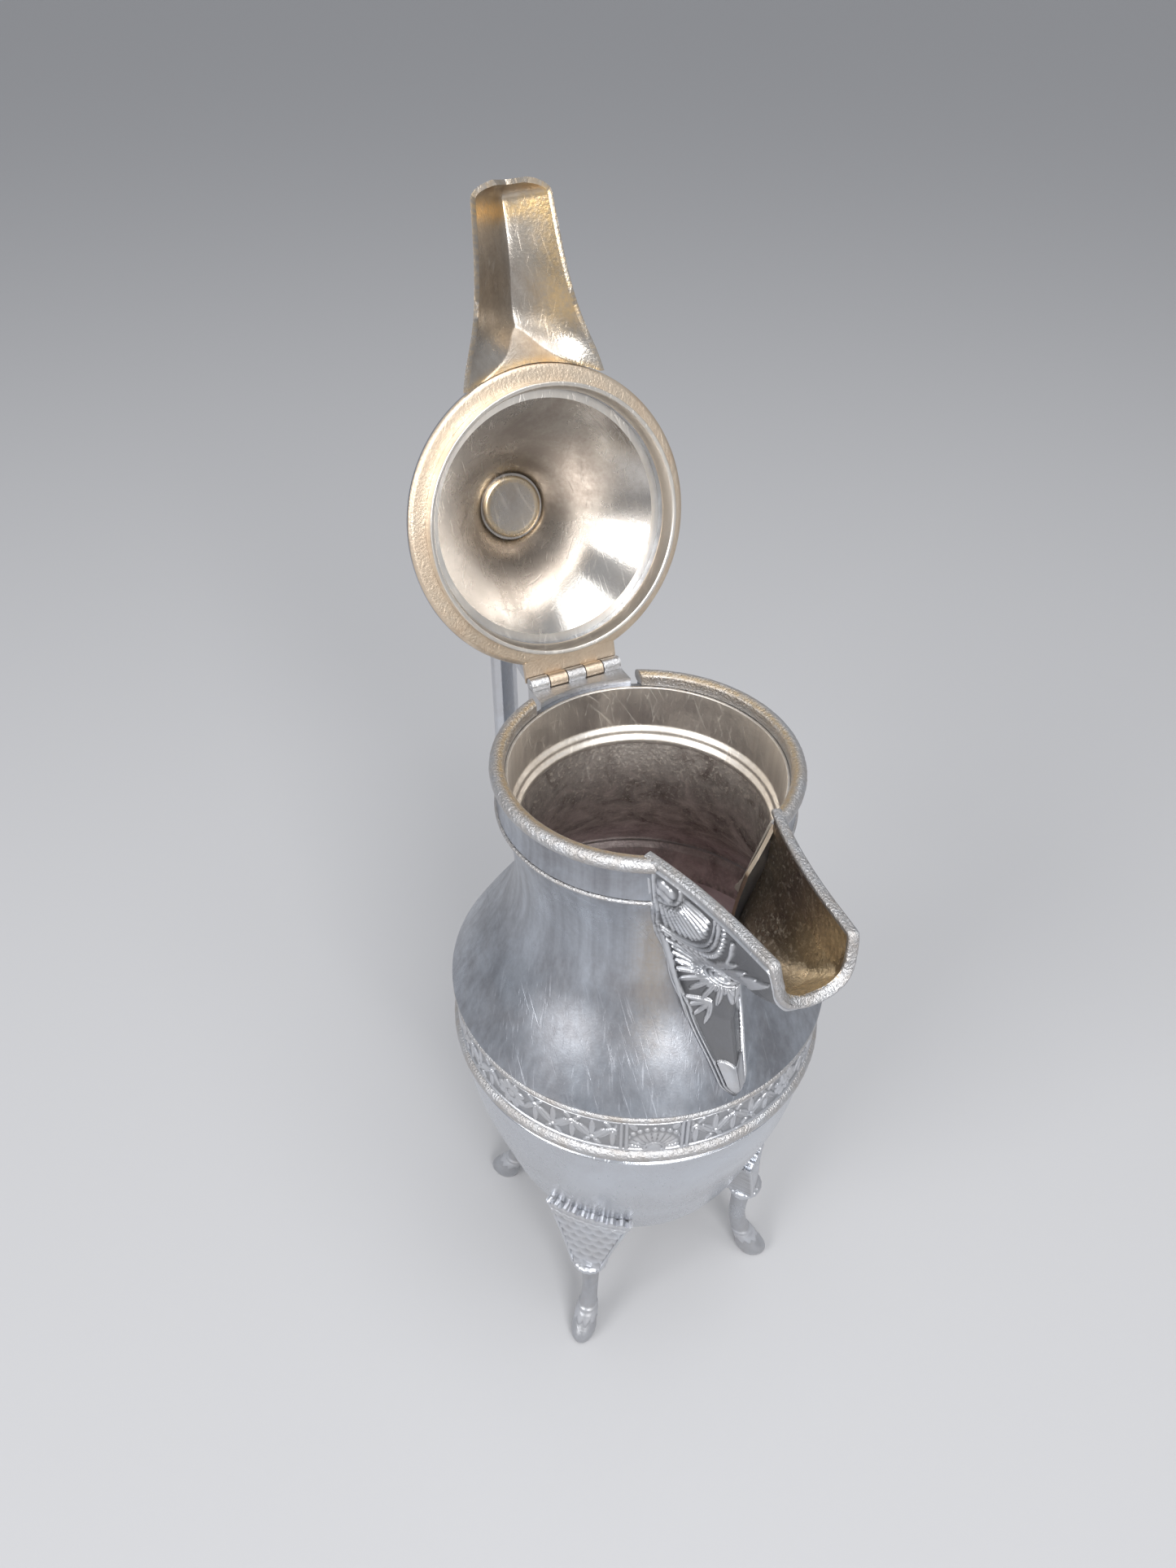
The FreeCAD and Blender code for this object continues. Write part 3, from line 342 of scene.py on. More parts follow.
# %% Hairlines, clouds and streaks
def hairline_group():
    """Fine scratches: three stretched noises at different slants, kept only where they peak."""
    group, given, result = new_group("hairlines", [("Vector", "v")], [("Mask", "f")])
    total = None
    for turn, stretch in (((0.3, 0.2, 0.4), (9, 420, 60)), ((1.1, 0.5, 0.2), (500, 14, 40)),
                          ((0.7, 1.3, 0.9), (30, 520, 12))):
        slant = add_node(group, "ShaderNodeVectorRotate", {"Vector": given["Vector"], "Rotation": turn},
                         rotation_type="EULER_XYZ").outputs[0]
        lines = grain(group, scaled(group, slant, stretch), 3.0, 2.0, 0.6)
        peaks = spread(group, lines, 0.62, 0.74)
        total = peaks if total is None else sums(group, total, peaks, "MAXIMUM")
    group.links.new(total, result["Mask"])
    return group


def cloud_group():
    """Cloudy tarnish: a broad noise broken up by a finer one."""
    group, given, result = new_group("clouds", [("Vector", "v"), ("Scale", "f")],
                                     [("Mask", "f"), ("Fine", "f")])
    broad = add_node(group, "ShaderNodeTexNoise", {"Vector": given["Vector"], "Scale": given["Scale"],
                                                   "Detail": 5.0, "Roughness": 0.62, "Distortion": 0.6})
    fine = grain(group, given["Vector"], 900.0, 3.0, 0.6)
    mixed = sums(group, broad.outputs["Fac"], sums(group, fine, 0.18, "MULTIPLY"))
    group.links.new(spread(group, mixed, 0.42, 0.78), result["Mask"])
    group.links.new(fine, result["Fine"])
    return group


def streak_group():
    """Soft upright streaks: noise that changes quickly round the pot and slowly along its height."""
    group, given, result = new_group("streaks", [("Vector", "v")], [("Mask", "f")])
    fine = grain(group, scaled(group, given["Vector"], (420, 420, 9)), 1.0, 3.0, 0.6)
    broad = grain(group, scaled(group, given["Vector"], (95, 95, 5)), 1.0, 2.0, 0.5)
    group.links.new(spread(group, sums(group, fine, broad), 0.75, 1.25), result["Mask"])
    return group


HAIRLINES, CLOUDS, STREAKS = hairline_group(), cloud_group(), streak_group()
print("shared effects", [g.name for g in bpy.data.node_groups])

# %% [markdown]
# ## The finishes
#
# One function makes every silver finish from a short list of choices: the clean colour, the stain,
# how much of it there is, how dark the hollows are, and how rough the surface is. The colour of the
# bare metal comes first. The stain clouds over it, streaks and pale flecks follow, the hollows darken,
# and a warm tint goes on last: old solder, and on some finishes painted highlights and painted light.
# Roughness rises in the stains, and hairlines and grain go into the bump.

# %% Silver
def group_node(tree, group, inputs):
    """Outputs of a shared effect placed in a material."""
    return add_node(tree, "ShaderNodeGroup", inputs, node_tree=group).outputs


def attribute(tree, name):
    """A number that was stored on the points of the mesh."""
    return add_node(tree, "ShaderNodeAttribute", attribute_name=name).outputs["Fac"]


FLECK = (0.86, 0.80, 0.72)
STREAK_DARK, STREAK_LIGHT = (0.42, 0.4, 0.4), (1.0, 1.0, 1.0)


def silver(name, clean, stain, stains=0.5, cloud=38.0, streaks=0.0, hollow=(0.1, 0.09, 0.085),
           depth=0.0, warm=(0.62, 0.46, 0.26), rough=(0.2, 0.36), grains=0.15, grain_scale=1400.0,
           lines=0.12, specks=0.0):
    """Old silver as a material, from its clean colour to its stains, hollows and scratches."""
    material = bpy.data.materials.new(name)
    material.use_nodes = True
    tree = material.node_tree
    metal = tree.nodes["Principled BSDF"]
    metal.inputs["Metallic"].default_value = 1.0
    place = add_node(tree, "ShaderNodeTexCoord").outputs["Object"]
    clouds = group_node(tree, CLOUDS, {"Vector": place, "Scale": cloud})
    hair = group_node(tree, HAIRLINES, {"Vector": place})["Mask"]
    share = sums(tree, clouds["Mask"], stains, "MULTIPLY")
    colour = blend(tree, share, (*clean, 1), (*stain, 1))
    if streaks:
        run = group_node(tree, STREAKS, {"Vector": place})["Mask"]
        runs = ramp(tree, run, [(0.0, STREAK_DARK), (1.0, STREAK_LIGHT)])
        colour = blend(tree, streaks, colour, runs, "MULTIPLY")
    if specks:
        flecks = spread(tree, clouds["Fine"], 0.54, 0.64, 0.0, specks)
        colour = blend(tree, flecks, colour, (*FLECK, 1))
    if depth:
        low = spread(tree, attribute(tree, "relief"), 0.0, 0.75, depth, 0.0)
        colour = blend(tree, low, colour, (*hollow, 1))
    # Warm tint: old solder and stains, and on some pieces painted warm highlights and painted light.
    uneven = spread(tree, clouds["Fine"], 0.3, 0.6, 0.55, 1.0)
    glow = sums(tree, attribute(tree, "tint"), uneven, "MULTIPLY")
    colour = blend(tree, glow, colour, (*warm, 1))
    tree.links.new(colour, metal.inputs["Base Color"])
    dull = spread(tree, clouds["Mask"], 0.0, 1.0, *rough)
    dull = sums(tree, dull, sums(tree, hair, 0.12, "MULTIPLY"))
    tree.links.new(dull, metal.inputs["Roughness"])
    pits = grain(tree, place, grain_scale, 3.0, 0.6)
    height = sums(tree, sums(tree, pits, grains, "MULTIPLY"), sums(tree, hair, -lines, "MULTIPLY"))
    bump = add_node(tree, "ShaderNodeBump", {"Strength": 0.5, "Distance": 0.0004, "Height": height})
    tree.links.new(bump.outputs["Normal"], metal.inputs["Normal"])
    return material


BODY = silver("body_silver", clean=(0.54, 0.58, 0.64), stain=(0.27, 0.255, 0.26), stains=0.65, cloud=34.0,
              streaks=0.5, rough=(0.24, 0.4), grains=0.1)
BOWL = silver("bowl_silver", clean=(0.64, 0.67, 0.72), stain=(0.44, 0.42, 0.42), stains=0.45, cloud=30.0,
              rough=(0.16, 0.3), grains=0.06)
# The warm colour of this finish, a pale pink, is painted light: the lit patch low inside the neck.
INSIDE = silver("inside_silver", clean=(0.76, 0.71, 0.66), stain=(0.18, 0.145, 0.13), stains=0.95,
                cloud=120.0, streaks=0.25, specks=0.5, warm=(0.84, 0.72, 0.73), rough=(0.5, 0.7),
                grains=0.9, grain_scale=900.0)
CAST = silver("cast_silver", clean=(0.66, 0.68, 0.72), stain=(0.46, 0.42, 0.38), stains=0.4, cloud=60.0,
              depth=0.9, hollow=(0.12, 0.12, 0.125), rough=(0.26, 0.42), grains=0.25)
RIM = silver("rim_silver", clean=(0.6, 0.61, 0.63), stain=(0.38, 0.32, 0.26), stains=0.6, cloud=110.0,
             depth=0.6, rough=(0.32, 0.5), grains=2.4, grain_scale=1500.0)
BRIGHT = silver("bright_silver", clean=(0.87, 0.83, 0.77), stain=(0.62, 0.53, 0.42), stains=0.4,
                cloud=40.0, streaks=0.2, rough=(0.28, 0.42), grains=0.1)
HINGE = silver("hinge_silver", clean=(0.66, 0.67, 0.69), stain=(0.4, 0.36, 0.32), stains=0.55,
               cloud=110.0, rough=(0.3, 0.46), grains=0.8)
MOUTH = silver("mouth_silver", clean=(0.96, 0.92, 0.86), stain=(0.7, 0.61, 0.5), stains=0.45, cloud=46.0,
               streaks=0.3, rough=(0.34, 0.5), grains=0.15)
DOME_IN = silver("dome_inside", clean=(0.64, 0.61, 0.57), stain=(0.27, 0.23, 0.2), stains=0.8, cloud=34.0,
                 rough=(0.16, 0.34), grains=0.1, lines=0.04)
TAN = silver("tan_silver", clean=(0.78, 0.66, 0.52), stain=(0.46, 0.34, 0.24), stains=0.6, cloud=70.0,
             rough=(0.34, 0.5), grains=0.5)
# The warm colour of the hood's inside is solder, a band at its end and a painted golden highlight down one
# side.
HOOD = silver("hood_silver", clean=(0.66, 0.62, 0.56), stain=(0.25, 0.2, 0.16), stains=0.7, cloud=48.0,
              streaks=0.3, warm=(0.74, 0.52, 0.26), rough=(0.2, 0.38), grains=0.3)
# The warm colour of the trough is a painted warm highlight near the lip.
TROUGH = silver("trough_silver", clean=(0.52, 0.44, 0.35), stain=(0.17, 0.14, 0.12), stains=0.95,
                cloud=90.0, warm=(0.95, 0.78, 0.5), specks=0.6, rough=(0.26, 0.42), grains=1.2,
                grain_scale=700.0)
# The inside of the bowl is a brighter, pinker copy of the inside finish: painted light on the lit belly.
BELLY_PAINTED_LIGHT = silver("belly_painted_light_silver", clean=(0.95, 0.86, 0.87), stain=(0.66, 0.56, 0.56), stains=0.6, cloud=60.0,
               rough=(0.6, 0.74), grains=0.3)
print("finishes", [m.name for m in bpy.data.materials if m.name.endswith(("silver", "inside"))])

# %% [markdown]
# ## Bowl
#
# The lower body is raised from one sheet: a deep round bowl with a straight seat at the top where
# the frieze is soldered on. Inside and outside are one closed wall, 1.2 mm thick.

# %% Bowl
BOWL_COLS = 288
BOWL_STATIONS = [(53.7, 118), (51.3, 100), (47.3, 84), (42.9, 68), (36.5, 54), (24, 44)]
BOWL_INNER = [(52.5, 118), (50.1, 100), (46.1, 84), (41.84, 68.24), (35.84, 54.9), (23.52, 45.2)]
bowl_out = curve_through(BOWL_STATIONS, 70)
bowl_in = curve_through(BOWL_INNER, 60)


def bowl_radius(z):
    """Outer radius of the bowl at height z."""
    return np.interp(z, bowl_out[::-1, 1], bowl_out[::-1, 0])


seat_out = [(52.75, 125.95), (52.75, 119.0), (53.3, 118.15)]
outer = np.concatenate([seat_out, bowl_out, [(22.0, 44.0)]])
inner = np.concatenate([[(22.0, 45.2)], bowl_in[::-1], [(51.6, 118.6), (51.6, 125.95)]])
outside, inside = swept(outer, BOWL_COLS), swept(inner, BOWL_COLS)
outside = push_out(outside, hand_waves(outside, 0.07) * (outer[:, 1] < 117)[:, None])
# The inside of the bowl takes the brighter copy of the inside finish, which is painted light.
make_piece("bowl", [turned_sheet(outside, finish=0),
                    turned_sheet(inside, finish=1),
                    turned_sheet(np.stack([outside[-1], inside[0]]), finish=0),
                    turned_sheet(np.stack([inside[-1], outside[0]]), finish=1)],
           "pot", [BOWL, BELLY_PAINTED_LIGHT], ["bowl_shell"])

# %% [markdown]
# ## Neck
#
# The neck grows out of a sharp shoulder and narrows to a waist before it opens to the mouth. A tall
# slot behind the spout lets the coffee out: a funnel at the top, a narrow slot with a round foot
# below. In the turned grid the slot is simply a start angle that changes with the height, worked
# out so that the cut stays upright and flat-sided as a saw leaves it.

# %% Neck wall
SLOT_FOOT, SLOT_LOW, SLOT_MID, MOUTH_TOP = 159.6, 166.0, 203.0, 213.2
SLOT_R = 6.4
NECK_COLS = 300


def slot_half(z):
    """Half-width of the slot at height z: round foot, slow taper, then a funnel."""
    foot = np.sqrt(np.clip(SLOT_R ** 2 - (SLOT_LOW - z) ** 2, 0, None))
    straight = np.interp(z, [SLOT_LOW, SLOT_MID, MOUTH_TOP], [SLOT_R, 8.0, 16.4])
    return np.where(z < SLOT_LOW, np.where(z <= SLOT_FOOT, 0, foot), straight)


def neck_radius(z):
    """Outer radius of the neck at height z."""
    return np.interp(z, np.r_[126, 137.4, waist[:, 1], MOUTH_TOP], np.r_[52.8, 52.8, waist[:, 0], 37.2])


waist_in = curve_through([(53.44, 140.6), (45.54, 153.16), (37.39, 166.52), (33.5, 183), (36.0, 202)], 160)


def neck_inner_radius(z):
    """Inner radius of the neck at height z."""
    return np.interp(z, np.r_[126, 136.8, waist_in[:, 1], MOUTH_TOP],
                     np.r_[51.6, 51.6, waist_in[:, 0], 36.0])


neck_z = np.concatenate([np.linspace(126, 137.3, 4), np.linspace(137.5, 140.7, 6), [141.0, 141.25, 141.6],
                         np.linspace(142.4, 159.2, 26),
                         SLOT_FOOT + SLOT_R * (1 - np.cos(np.linspace(0, np.pi / 2, 16))),
                         np.linspace(167, 202.6, 40), np.linspace(SLOT_MID, MOUTH_TOP, 14)])


def neck_face(radius, z):
    """Turned face of the neck with the slot left open."""
    r = radius(z)
    a = np.arcsin(np.clip(slot_half(z) / r, 0, 1))
    return swept(np.stack([r, z], -1), NECK_COLS, a, TURN - a)


neck_out = neck_face(neck_radius, neck_z)
neck_out = push_out(neck_out, hand_waves(neck_out, 0.08) * ((neck_z > 143) & (neck_z < 202))[:, None])
neck_in = neck_face(neck_inner_radius, neck_z)
brown_side = np.exp(-((angle_of(neck_out) + 0.42) / 0.13) ** 2)
brown_side *= np.clip((neck_z - 150) / 30, 0, 1)[:, None] * np.clip((205 - neck_z) / 12, 0, 1)[:, None]
# Painted light: the lower inside wall turns pale pink, as it looks where light falls into the belly.
painted_light_low_inside = 0.55 * np.clip((158 - neck_z) / 12, 0, 1)[:, None]
opening = neck_z >= SLOT_FOOT
slot_walls = [np.stack([neck_out[opening, 0], neck_in[opening, 0]], 1),
              np.stack([neck_in[opening, -1], neck_out[opening, -1]], 1)]
make_piece("neck", [sheet(neck_out, finish=0, tint=0.35 * brown_side),
                    sheet(neck_in, finish=1, tint=painted_light_low_inside),
                    sheet(np.stack([neck_out[0], neck_in[0]])),
                    sheet(np.stack([neck_out[-1], neck_in[-1]])),
                    sheet(slot_walls[0], finish=2), sheet(slot_walls[1], finish=2)],
           "pot", [BODY, INSIDE, TAN], ["neck_shell"])

# %% [markdown]
# ## Chasing leaves and petals
#
# Chased ornament is pushed up from below and sharpened from above. A petal is worked out from how
# far a place lies along its spine and how far beside it: the height is that of a round ridge inside
# an almond outline, with a groove down the middle. A motif is the highest of all its petals, the
# way overlapping leaves hide one another.

# %% Relief shapes
def line_ridge(distance, half):
    """Round-topped raised line, 1 on its middle and 0 beyond its half-width."""
    return np.sqrt(np.clip(1 - (distance / half) ** 2, 0, 1))


def far_from(x, y, centre):
    """Distance of every place from a centre."""
    return np.hypot(x - centre[0], y - centre[1])


def place_at(centre, reach, turn):
    """The place at a distance and a direction from a centre."""
    return centre[0] + reach * math.cos(turn), centre[1] + reach * math.sin(turn)


def petal(x, y, tail, tip, half, groove=0.4, skew=0.9):
    """Almond-shaped ridge from tail to tip with a groove along its spine."""
    dx, dy = tip[0] - tail[0], tip[1] - tail[1]
    length = math.hypot(dx, dy)
    along = ((x - tail[0]) * dx + (y - tail[1]) * dy) / length ** 2
    beside = ((y - tail[1]) * dx - (x - tail[0]) * dy) / length
    place = np.clip(along, 0, 1) ** skew
    width = half * np.sqrt(np.clip(4 * place * (1 - place), 0, 1)) + 1e-6
    dome = line_ridge(beside, width) * ((along > 0) & (along < 1))
    return dome * (1 - groove * np.exp(-(beside / (0.16 * half)) ** 2))


def highest(*heights):
    """Highest of several reliefs at every place."""
    return np.maximum.reduce(heights)


def rosette(x, y, centre, inner, outer, count, half, turn=0.0):
    """Ring of petals round a button."""
    leaves = [petal(x, y, place_at(centre, inner, a), place_at(centre, outer, a), half)
              for a in turn + np.arange(count) * TURN / count]
    return highest(line_ridge(far_from(x, y, centre), inner), *leaves)


trial = np.meshgrid(np.linspace(-5, 5, 101), np.linspace(-5, 5, 101))
flower = rosette(*trial, (0.0, 0.0), 1.5, 5.0, 8, 1.5)
print("a flower of 8 petals covers", round(float((flower > 0.2).mean()), 2), "of its square")

# %% [markdown]
# ## Frieze
#
# A strip of stamped ornament runs round the widest part. Four short panels with a half sun sit
# between upright bars. In the long panels between them a waving stem with sprays of leaves runs out
# on both sides of a flower. The strip is a ring with a plain back; only its outer face carries the
# relief.

# %% Frieze
FRIEZE_LOW, FRIEZE_HIGH = 124.65, 137.35
FRIEZE_R, FRIEZE_MID_R, FRIEZE_BACK_R = 53.05, 53.5, 52.85
FRIEZE_COLS = 1500
SUN_TURN, QUARTER = math.radians(23), np.pi / 2
A, Z = np.meshgrid(np.linspace(0, TURN, FRIEZE_COLS, endpoint=False),
                   np.linspace(FRIEZE_LOW, FRIEZE_HIGH, 54))
U = ((A + SUN_TURN + QUARTER / 2) % QUARTER - QUARTER / 2) * FRIEZE_MID_R
V = Z - (FRIEZE_LOW + FRIEZE_HIGH) / 2
SUN_FOOT = -5.4
FLOWER_AT, STEM_BEND, STEM_RISE, PANEL_HALF = 42.0, 5.6, 2.4, 32.0


def sun_panel(u, v):
    """Half sun on the lower edge: button, ring, rays and a border of pearls."""
    rho = np.hypot(u, v - SUN_FOOT)
    phi = np.arctan2(v - SUN_FOOT, u)
    rays = line_ridge((phi * 11 / np.pi) % 1 - 0.5, 0.48) * line_ridge(rho - 5.0, 2.2)
    pearls = line_ridge(np.hypot(((phi * 13 / np.pi) % 1 - 0.5) * 2.1, rho - 8.6), 0.85)
    corner = petal(np.abs(u), v, (4.9, 3.0), (6.6, 5.4), 1.0)
    middle = highest(line_ridge(rho, 2.1), line_ridge(rho - 2.6, 0.4))
    return highest(middle, rays, pearls * 0.9, corner) * (np.abs(u) < 6.9)


def spray(x, y, root, turns, lengths, half):
    """Leaves that spread from one root, each with its own direction and length."""
    return highest(*[petal(x, y, place_at(root, 0.8, a), place_at(root, length, a), half)
                     for a, length in zip(np.radians(turns), lengths)])


def leaf_panel(u, v):
    """A waving stem with a spray of leaves in every bend, on both sides of a flower."""
    w = FLOWER_AT - np.abs(u)
    stem = line_ridge(0.8 * (v - STEM_RISE * np.sin(np.pi * (w - STEM_BEND) / STEM_BEND)), 0.5)
    parts = [rosette(w, v, (0.0, 0.0), 1.5, 5.0, 8, 1.5, np.pi / 8), stem * (w > STEM_BEND)]
    for bend in range(5):
        way = 1 - 2 * (bend % 2)
        root = STEM_BEND * (bend + 1.5)
        inwards, outwards = np.array([-90, -48, -132]) * way, np.array([48, 132]) * way
        parts.append(spray(w, v, (root, 2.2 * way), inwards, (7.2, 5.8, 5.8), 0.9))
        parts.append(spray(w, v, (root, 2.6 * way), outwards, (3.6, 3.6), 0.75))
    return highest(*parts) * (w < PANEL_HALF)


bars = highest(line_ridge(np.abs(U) - 7.5, 0.55), line_ridge(np.abs(U) - 8.9, 0.55))
edges = line_ridge(np.abs(V) - 5.95, 0.38)
frieze_height = highest(sun_panel(U, V), leaf_panel(U, V), bars, edges)
frieze_r = FRIEZE_R + 0.1 + 0.6 * frieze_height
face = round_axis(frieze_r, A, Z)
back = swept([(FRIEZE_BACK_R, FRIEZE_HIGH), (FRIEZE_BACK_R, FRIEZE_LOW)], FRIEZE_COLS)
frieze_relief = np.concatenate([0.4 + 0.6 * frieze_height, np.ones((2, FRIEZE_COLS))])
make_piece("frieze", [sheet(np.concatenate([face, back]), wrap=(True, True), relief=frieze_relief)],
           "pot", [CAST], ["frieze_band"], crease=80)

# %% [markdown]
# ## Beads, collar and rim
#
# Drawn wire hides each joint: a heavy half-round under the frieze, a lighter one above it, and a
# thick moulding on the mouth. They are worn by long use, so their surface is granular and a little
# uneven. The collar strip is hollow along its face. Rim, collar and its fine wire stop at the spout
# and again at the hinge.

# %% Wires
def half_round(r_in, z0, height, out, count=26):
    """Closed half-round profile with its flat side at radius r_in."""
    t = np.linspace(-np.pi / 2, np.pi / 2, count)
    bulge = np.stack([r_in + out * np.cos(t), z0 + height / 2 * (1 + np.sin(t))], -1)
    return np.concatenate([bulge, [(r_in - 0.02, z0 + height), (r_in - 0.02, z0)]])


def rub(points, height, pitch):
    """Uneven wear of a wire: short waves along it, in millimetres."""
    a, z = angle_of(points) * pitch, points[..., 2]
    return height * (np.sin(a) * np.sin(a * 0.37 + z) + 0.6 * np.sin(a * 2.3 + 3 * z))


for name, node, profile in (("bead_upper", "upper_bead", half_round(52.9, 137.5, 2.7, 1.5)),
                            ("bead_lower", "lower_bead", half_round(52.9, 120.05, 4.5, 2.1))):
    wire = swept(profile, 540)
    wire = push_out(wire, rub(wire, 0.03, 47) * (profile[:, :1] > 53))
    make_piece(name, [sheet(wire, wrap=(True, True), relief=0.8)], "pot", [RIM], [node])


def two_arcs(profile, cols, spout=17.3, hinge=16.0):
    """The two grids of a mouth moulding between the spout and the hinge."""
    r = np.asarray(profile)[:, 0]
    a, b = np.arcsin(spout / r), np.arcsin(hinge / r)
    return swept(profile, cols, a, np.pi - b), swept(profile, cols, np.pi + b, TURN - a)


ARC_COLS, COLLAR_BACK_R = 180, 37.28
arc = np.linspace(-1, 1, 15)
collar_profile = np.concatenate([np.stack([38.5 - 0.5 * (1 - arc ** 2), 208.7 + 4.35 * arc], -1),
                                 [(COLLAR_BACK_R, 213.1), (COLLAR_BACK_R, 204.3)]])
make_piece("collar", [rod_sheet(g) for g in two_arcs(collar_profile, ARC_COLS)],
           "pot", [BODY], ["neck_collar"])
fine_wire = half_round(38.5, 203.0, 1.15, 0.6, 13)
fine_wire[-2:, 0] = COLLAR_BACK_R
make_piece("collar_wire", [rod_sheet(g, relief=0.75) for g in two_arcs(fine_wire, ARC_COLS)],
           "pot", [RIM], ["collar_bead"])

rim_corners = [(36.0, 213.3), (38.4, 213.3), (39.6, 213.9), (39.95, 215.2), (39.5, 216.5),
               (38.4, 217.15), (37.2, 217.0), (36.0, 216.5)]
rim_profile = soften(rim_corners, [0.2, 0.3, 0.7, 0.7, 0.7, 0.6, 0.5, 0.45], 6)
rim_warm = np.exp(-((rim_profile[:, 0] - 36.9) / 0.9) ** 2) * (rim_profile[:, 1] > 216)
rims = []
for grid in two_arcs(rim_profile, 520):
    grid = push_out(grid, rub(grid, 0.035, 61) * (rim_profile[:, :1] > 37.5))
    rims.append(rod_sheet(grid, relief=0.8, tint=0.8 * rim_warm[:, None]))
make_piece("rim", rims, "pot", [RIM], ["rim_wire"])

# %% [markdown]
# ## Ring inside the mouth
#
# A smooth collar lines the mouth and takes the lid's bezel. Two rounded steps finish its foot. It
# is cut where the spout begins, on the same upright lines as the slot behind it.

# %% Mouth ring
ring_corners = [(35.93, 213.15), (35.25, 213.15), (35.25, 200.3), (34.3, 199.2), (34.05, 197.9),
                (33.1, 196.9), (32.9, 195.5), (34.6, 195.5), (35.3, 199.5), (35.93, 202.2)]
ring_profile = soften(ring_corners, [0.1, 0.25, 0.6, 0.5, 0.5, 0.5, 0.3, 0.3, 0.3, 0.3], 7)
ring_cut = np.arcsin(slot_half(ring_profile[:, 1]) / ring_profile[:, 0])
ring = swept(ring_profile, 260, ring_cut, TURN - ring_cut)
make_piece("mouth_ring", [rod_sheet(ring)],
           "pot", [MOUTH], ["mouth_collar"])

# %% [markdown]
# ## Spout
#
# The spout is cast in two cheeks that meet along the keel. Each height has its own section: the
# keel stands off the neck by a measured distance, the half-width on the neck is measured too, and a
# share between 0 and 1 says how wide the section is on the way from keel to neck. Low down the
# section is a narrow keel, and near the lip it opens into a trough. The edge is cut level with the
# rim and then turns down over the pouring lip.

# %% Spout sections
TOE, RIM_TOP = 140.6, 217.2
SPOUT_WALL, ROOT_SINK = 1.6, 0.5
SPOUT_Z = TOE + 76.6 * np.array([0, .084, .175, .332, .514, .606, .671, .749, .833, .911, 1, 1.052])
KEEL_OUT = np.array([-0.7, 4, 5.2, 8.6, 11.4, 14.2, 22.3, 32.3, 38.4, 41.8, 43.8, 44.4])
HALF_ON_NECK = np.array([3, 5.6, 7.2, 9.4, 12, 13.8, 15.2, 16.6, 17.6, 18.2, 18.6, 18.8])
STRAIGHT_NECK = ([126, 141.2, 154, 167, 183, 202, 226], [52.8, 54.4, 46.4, 38.4, 34.7, 37.2, 37.2])
KEEL_X = np.interp(SPOUT_Z, *STRAIGHT_NECK) + KEEL_OUT


def width_share(s, z):
    """Share of the half-width at the way s from keel to neck: a keel below, a trough above."""
    keel = np.sqrt((s + 0.12) ** 2 - 0.12 ** 2) / math.sqrt(1.12 ** 2 - 0.12 ** 2)
    trough = 0.57 * np.sqrt(1 - np.exp(-s / 0.06)) + 0.43 * s ** 2.2
    share = np.clip((z - 183) / 21.2, 0, 1)
    return keel + (trough - keel) * share


def cheek_point(s, z, inset):
    """Place on the spout's wall (x, y), drawn in from its outside by inset."""
    lifted = z - inset
    neck = np.interp(lifted, *STRAIGHT_NECK)
    keel = np.interp(lifted, SPOUT_Z, KEEL_X) - inset
    half = np.interp(lifted, SPOUT_Z, HALF_ON_NECK)
    root = np.sqrt(np.clip(neck ** 2 - half ** 2, 1, None)) - SPOUT_WALL
    return keel - (keel - root) * s, (half - inset) * width_share(s, lifted)


def halve(test, low, high, rounds=40):
    """Place between low and high where test turns from true to false, by halving the span."""
    for _ in range(rounds):
        mid = (low + high) / 2
        ok = test(mid)
        low, high = np.where(ok, mid, low), np.where(ok, high, mid)
    return low


def root_share(z, inset):
    """Way from the keel at which the wall sinks half a millimetre into the neck."""
    def outside(s):
        x, y = cheek_point(s, z, inset)
        return np.hypot(x, y) > neck_radius(z) - ROOT_SINK
    return halve(outside, np.zeros_like(z), np.ones_like(z))


root_z = np.linspace(TOE, RIM_TOP + 1, 400)
ROOTS = {inset: root_share(root_z, inset) for inset in (0.0, SPOUT_WALL)}


def lip_limit(z):
    """Farthest reach of the spout at height z: the pouring edge leans out as it goes down."""
    return 72.4 + 0.25 * (RIM_TOP - z)


def top_height(way, inset):
    """Height of the cut edge for each way round the section, with its corner rounded."""
    def below(z):
        x, _ = cheek_point(np.interp(z, root_z, ROOTS[inset]) * way ** 2, z, inset)
        return x < lip_limit(z)
    cut = halve(below, np.full_like(way, 190.0), np.full_like(way, RIM_TOP))
    for _ in range(3):
        padded = np.r_[cut[2:0:-1], cut, [RIM_TOP] * 2]
        cut = np.convolve(padded, [0.15, 0.22, 0.26, 0.22, 0.15], "valid")
    return cut


def cheek_grid(way, height_share, inset, low):
    """The half of the spout on the +Y side as a grid: rows go up, columns go from keel to neck."""
    top = np.minimum(top_height(way, inset), top_height(way, 0.0) + 0.75 * inset)
    z = low + (top - low)[None, :] * height_share[:, None]
    s = np.interp(z, root_z, ROOTS[inset]) * way[None, :] ** 2
    x, y = cheek_point(s, z, inset)
    return np.stack([x, y + 0.02, z], -1)


WAY = np.linspace(0, 1, 150)
plain_cheek = cheek_grid(WAY, np.linspace(0, 1, 380), 0.0, TOE)
print("lip reaches", plain_cheek[-1, 0].round(1), "mm")

# %% [markdown]
# ### Ornament of the spout
#
# Seen from the side, the chasing falls into clear parts. A double line follows the neck. A group of
# four scales sits under the rim with a fan of narrow petals spreading from it, and an arch, a row of
# pearls and a ribbon close the fan. A daisy with rings and two rows of petals sits low on the keel
# with a sprig under it, narrow leaves follow the keel up to the lip, and a plain boss ends the toe.
# All are drawn in the side view, in millimetres from the pot's axis and above the floor.

# %% Spout relief
FAN = (36.0, 213.0)
DAISY = (45.3, 182.1)


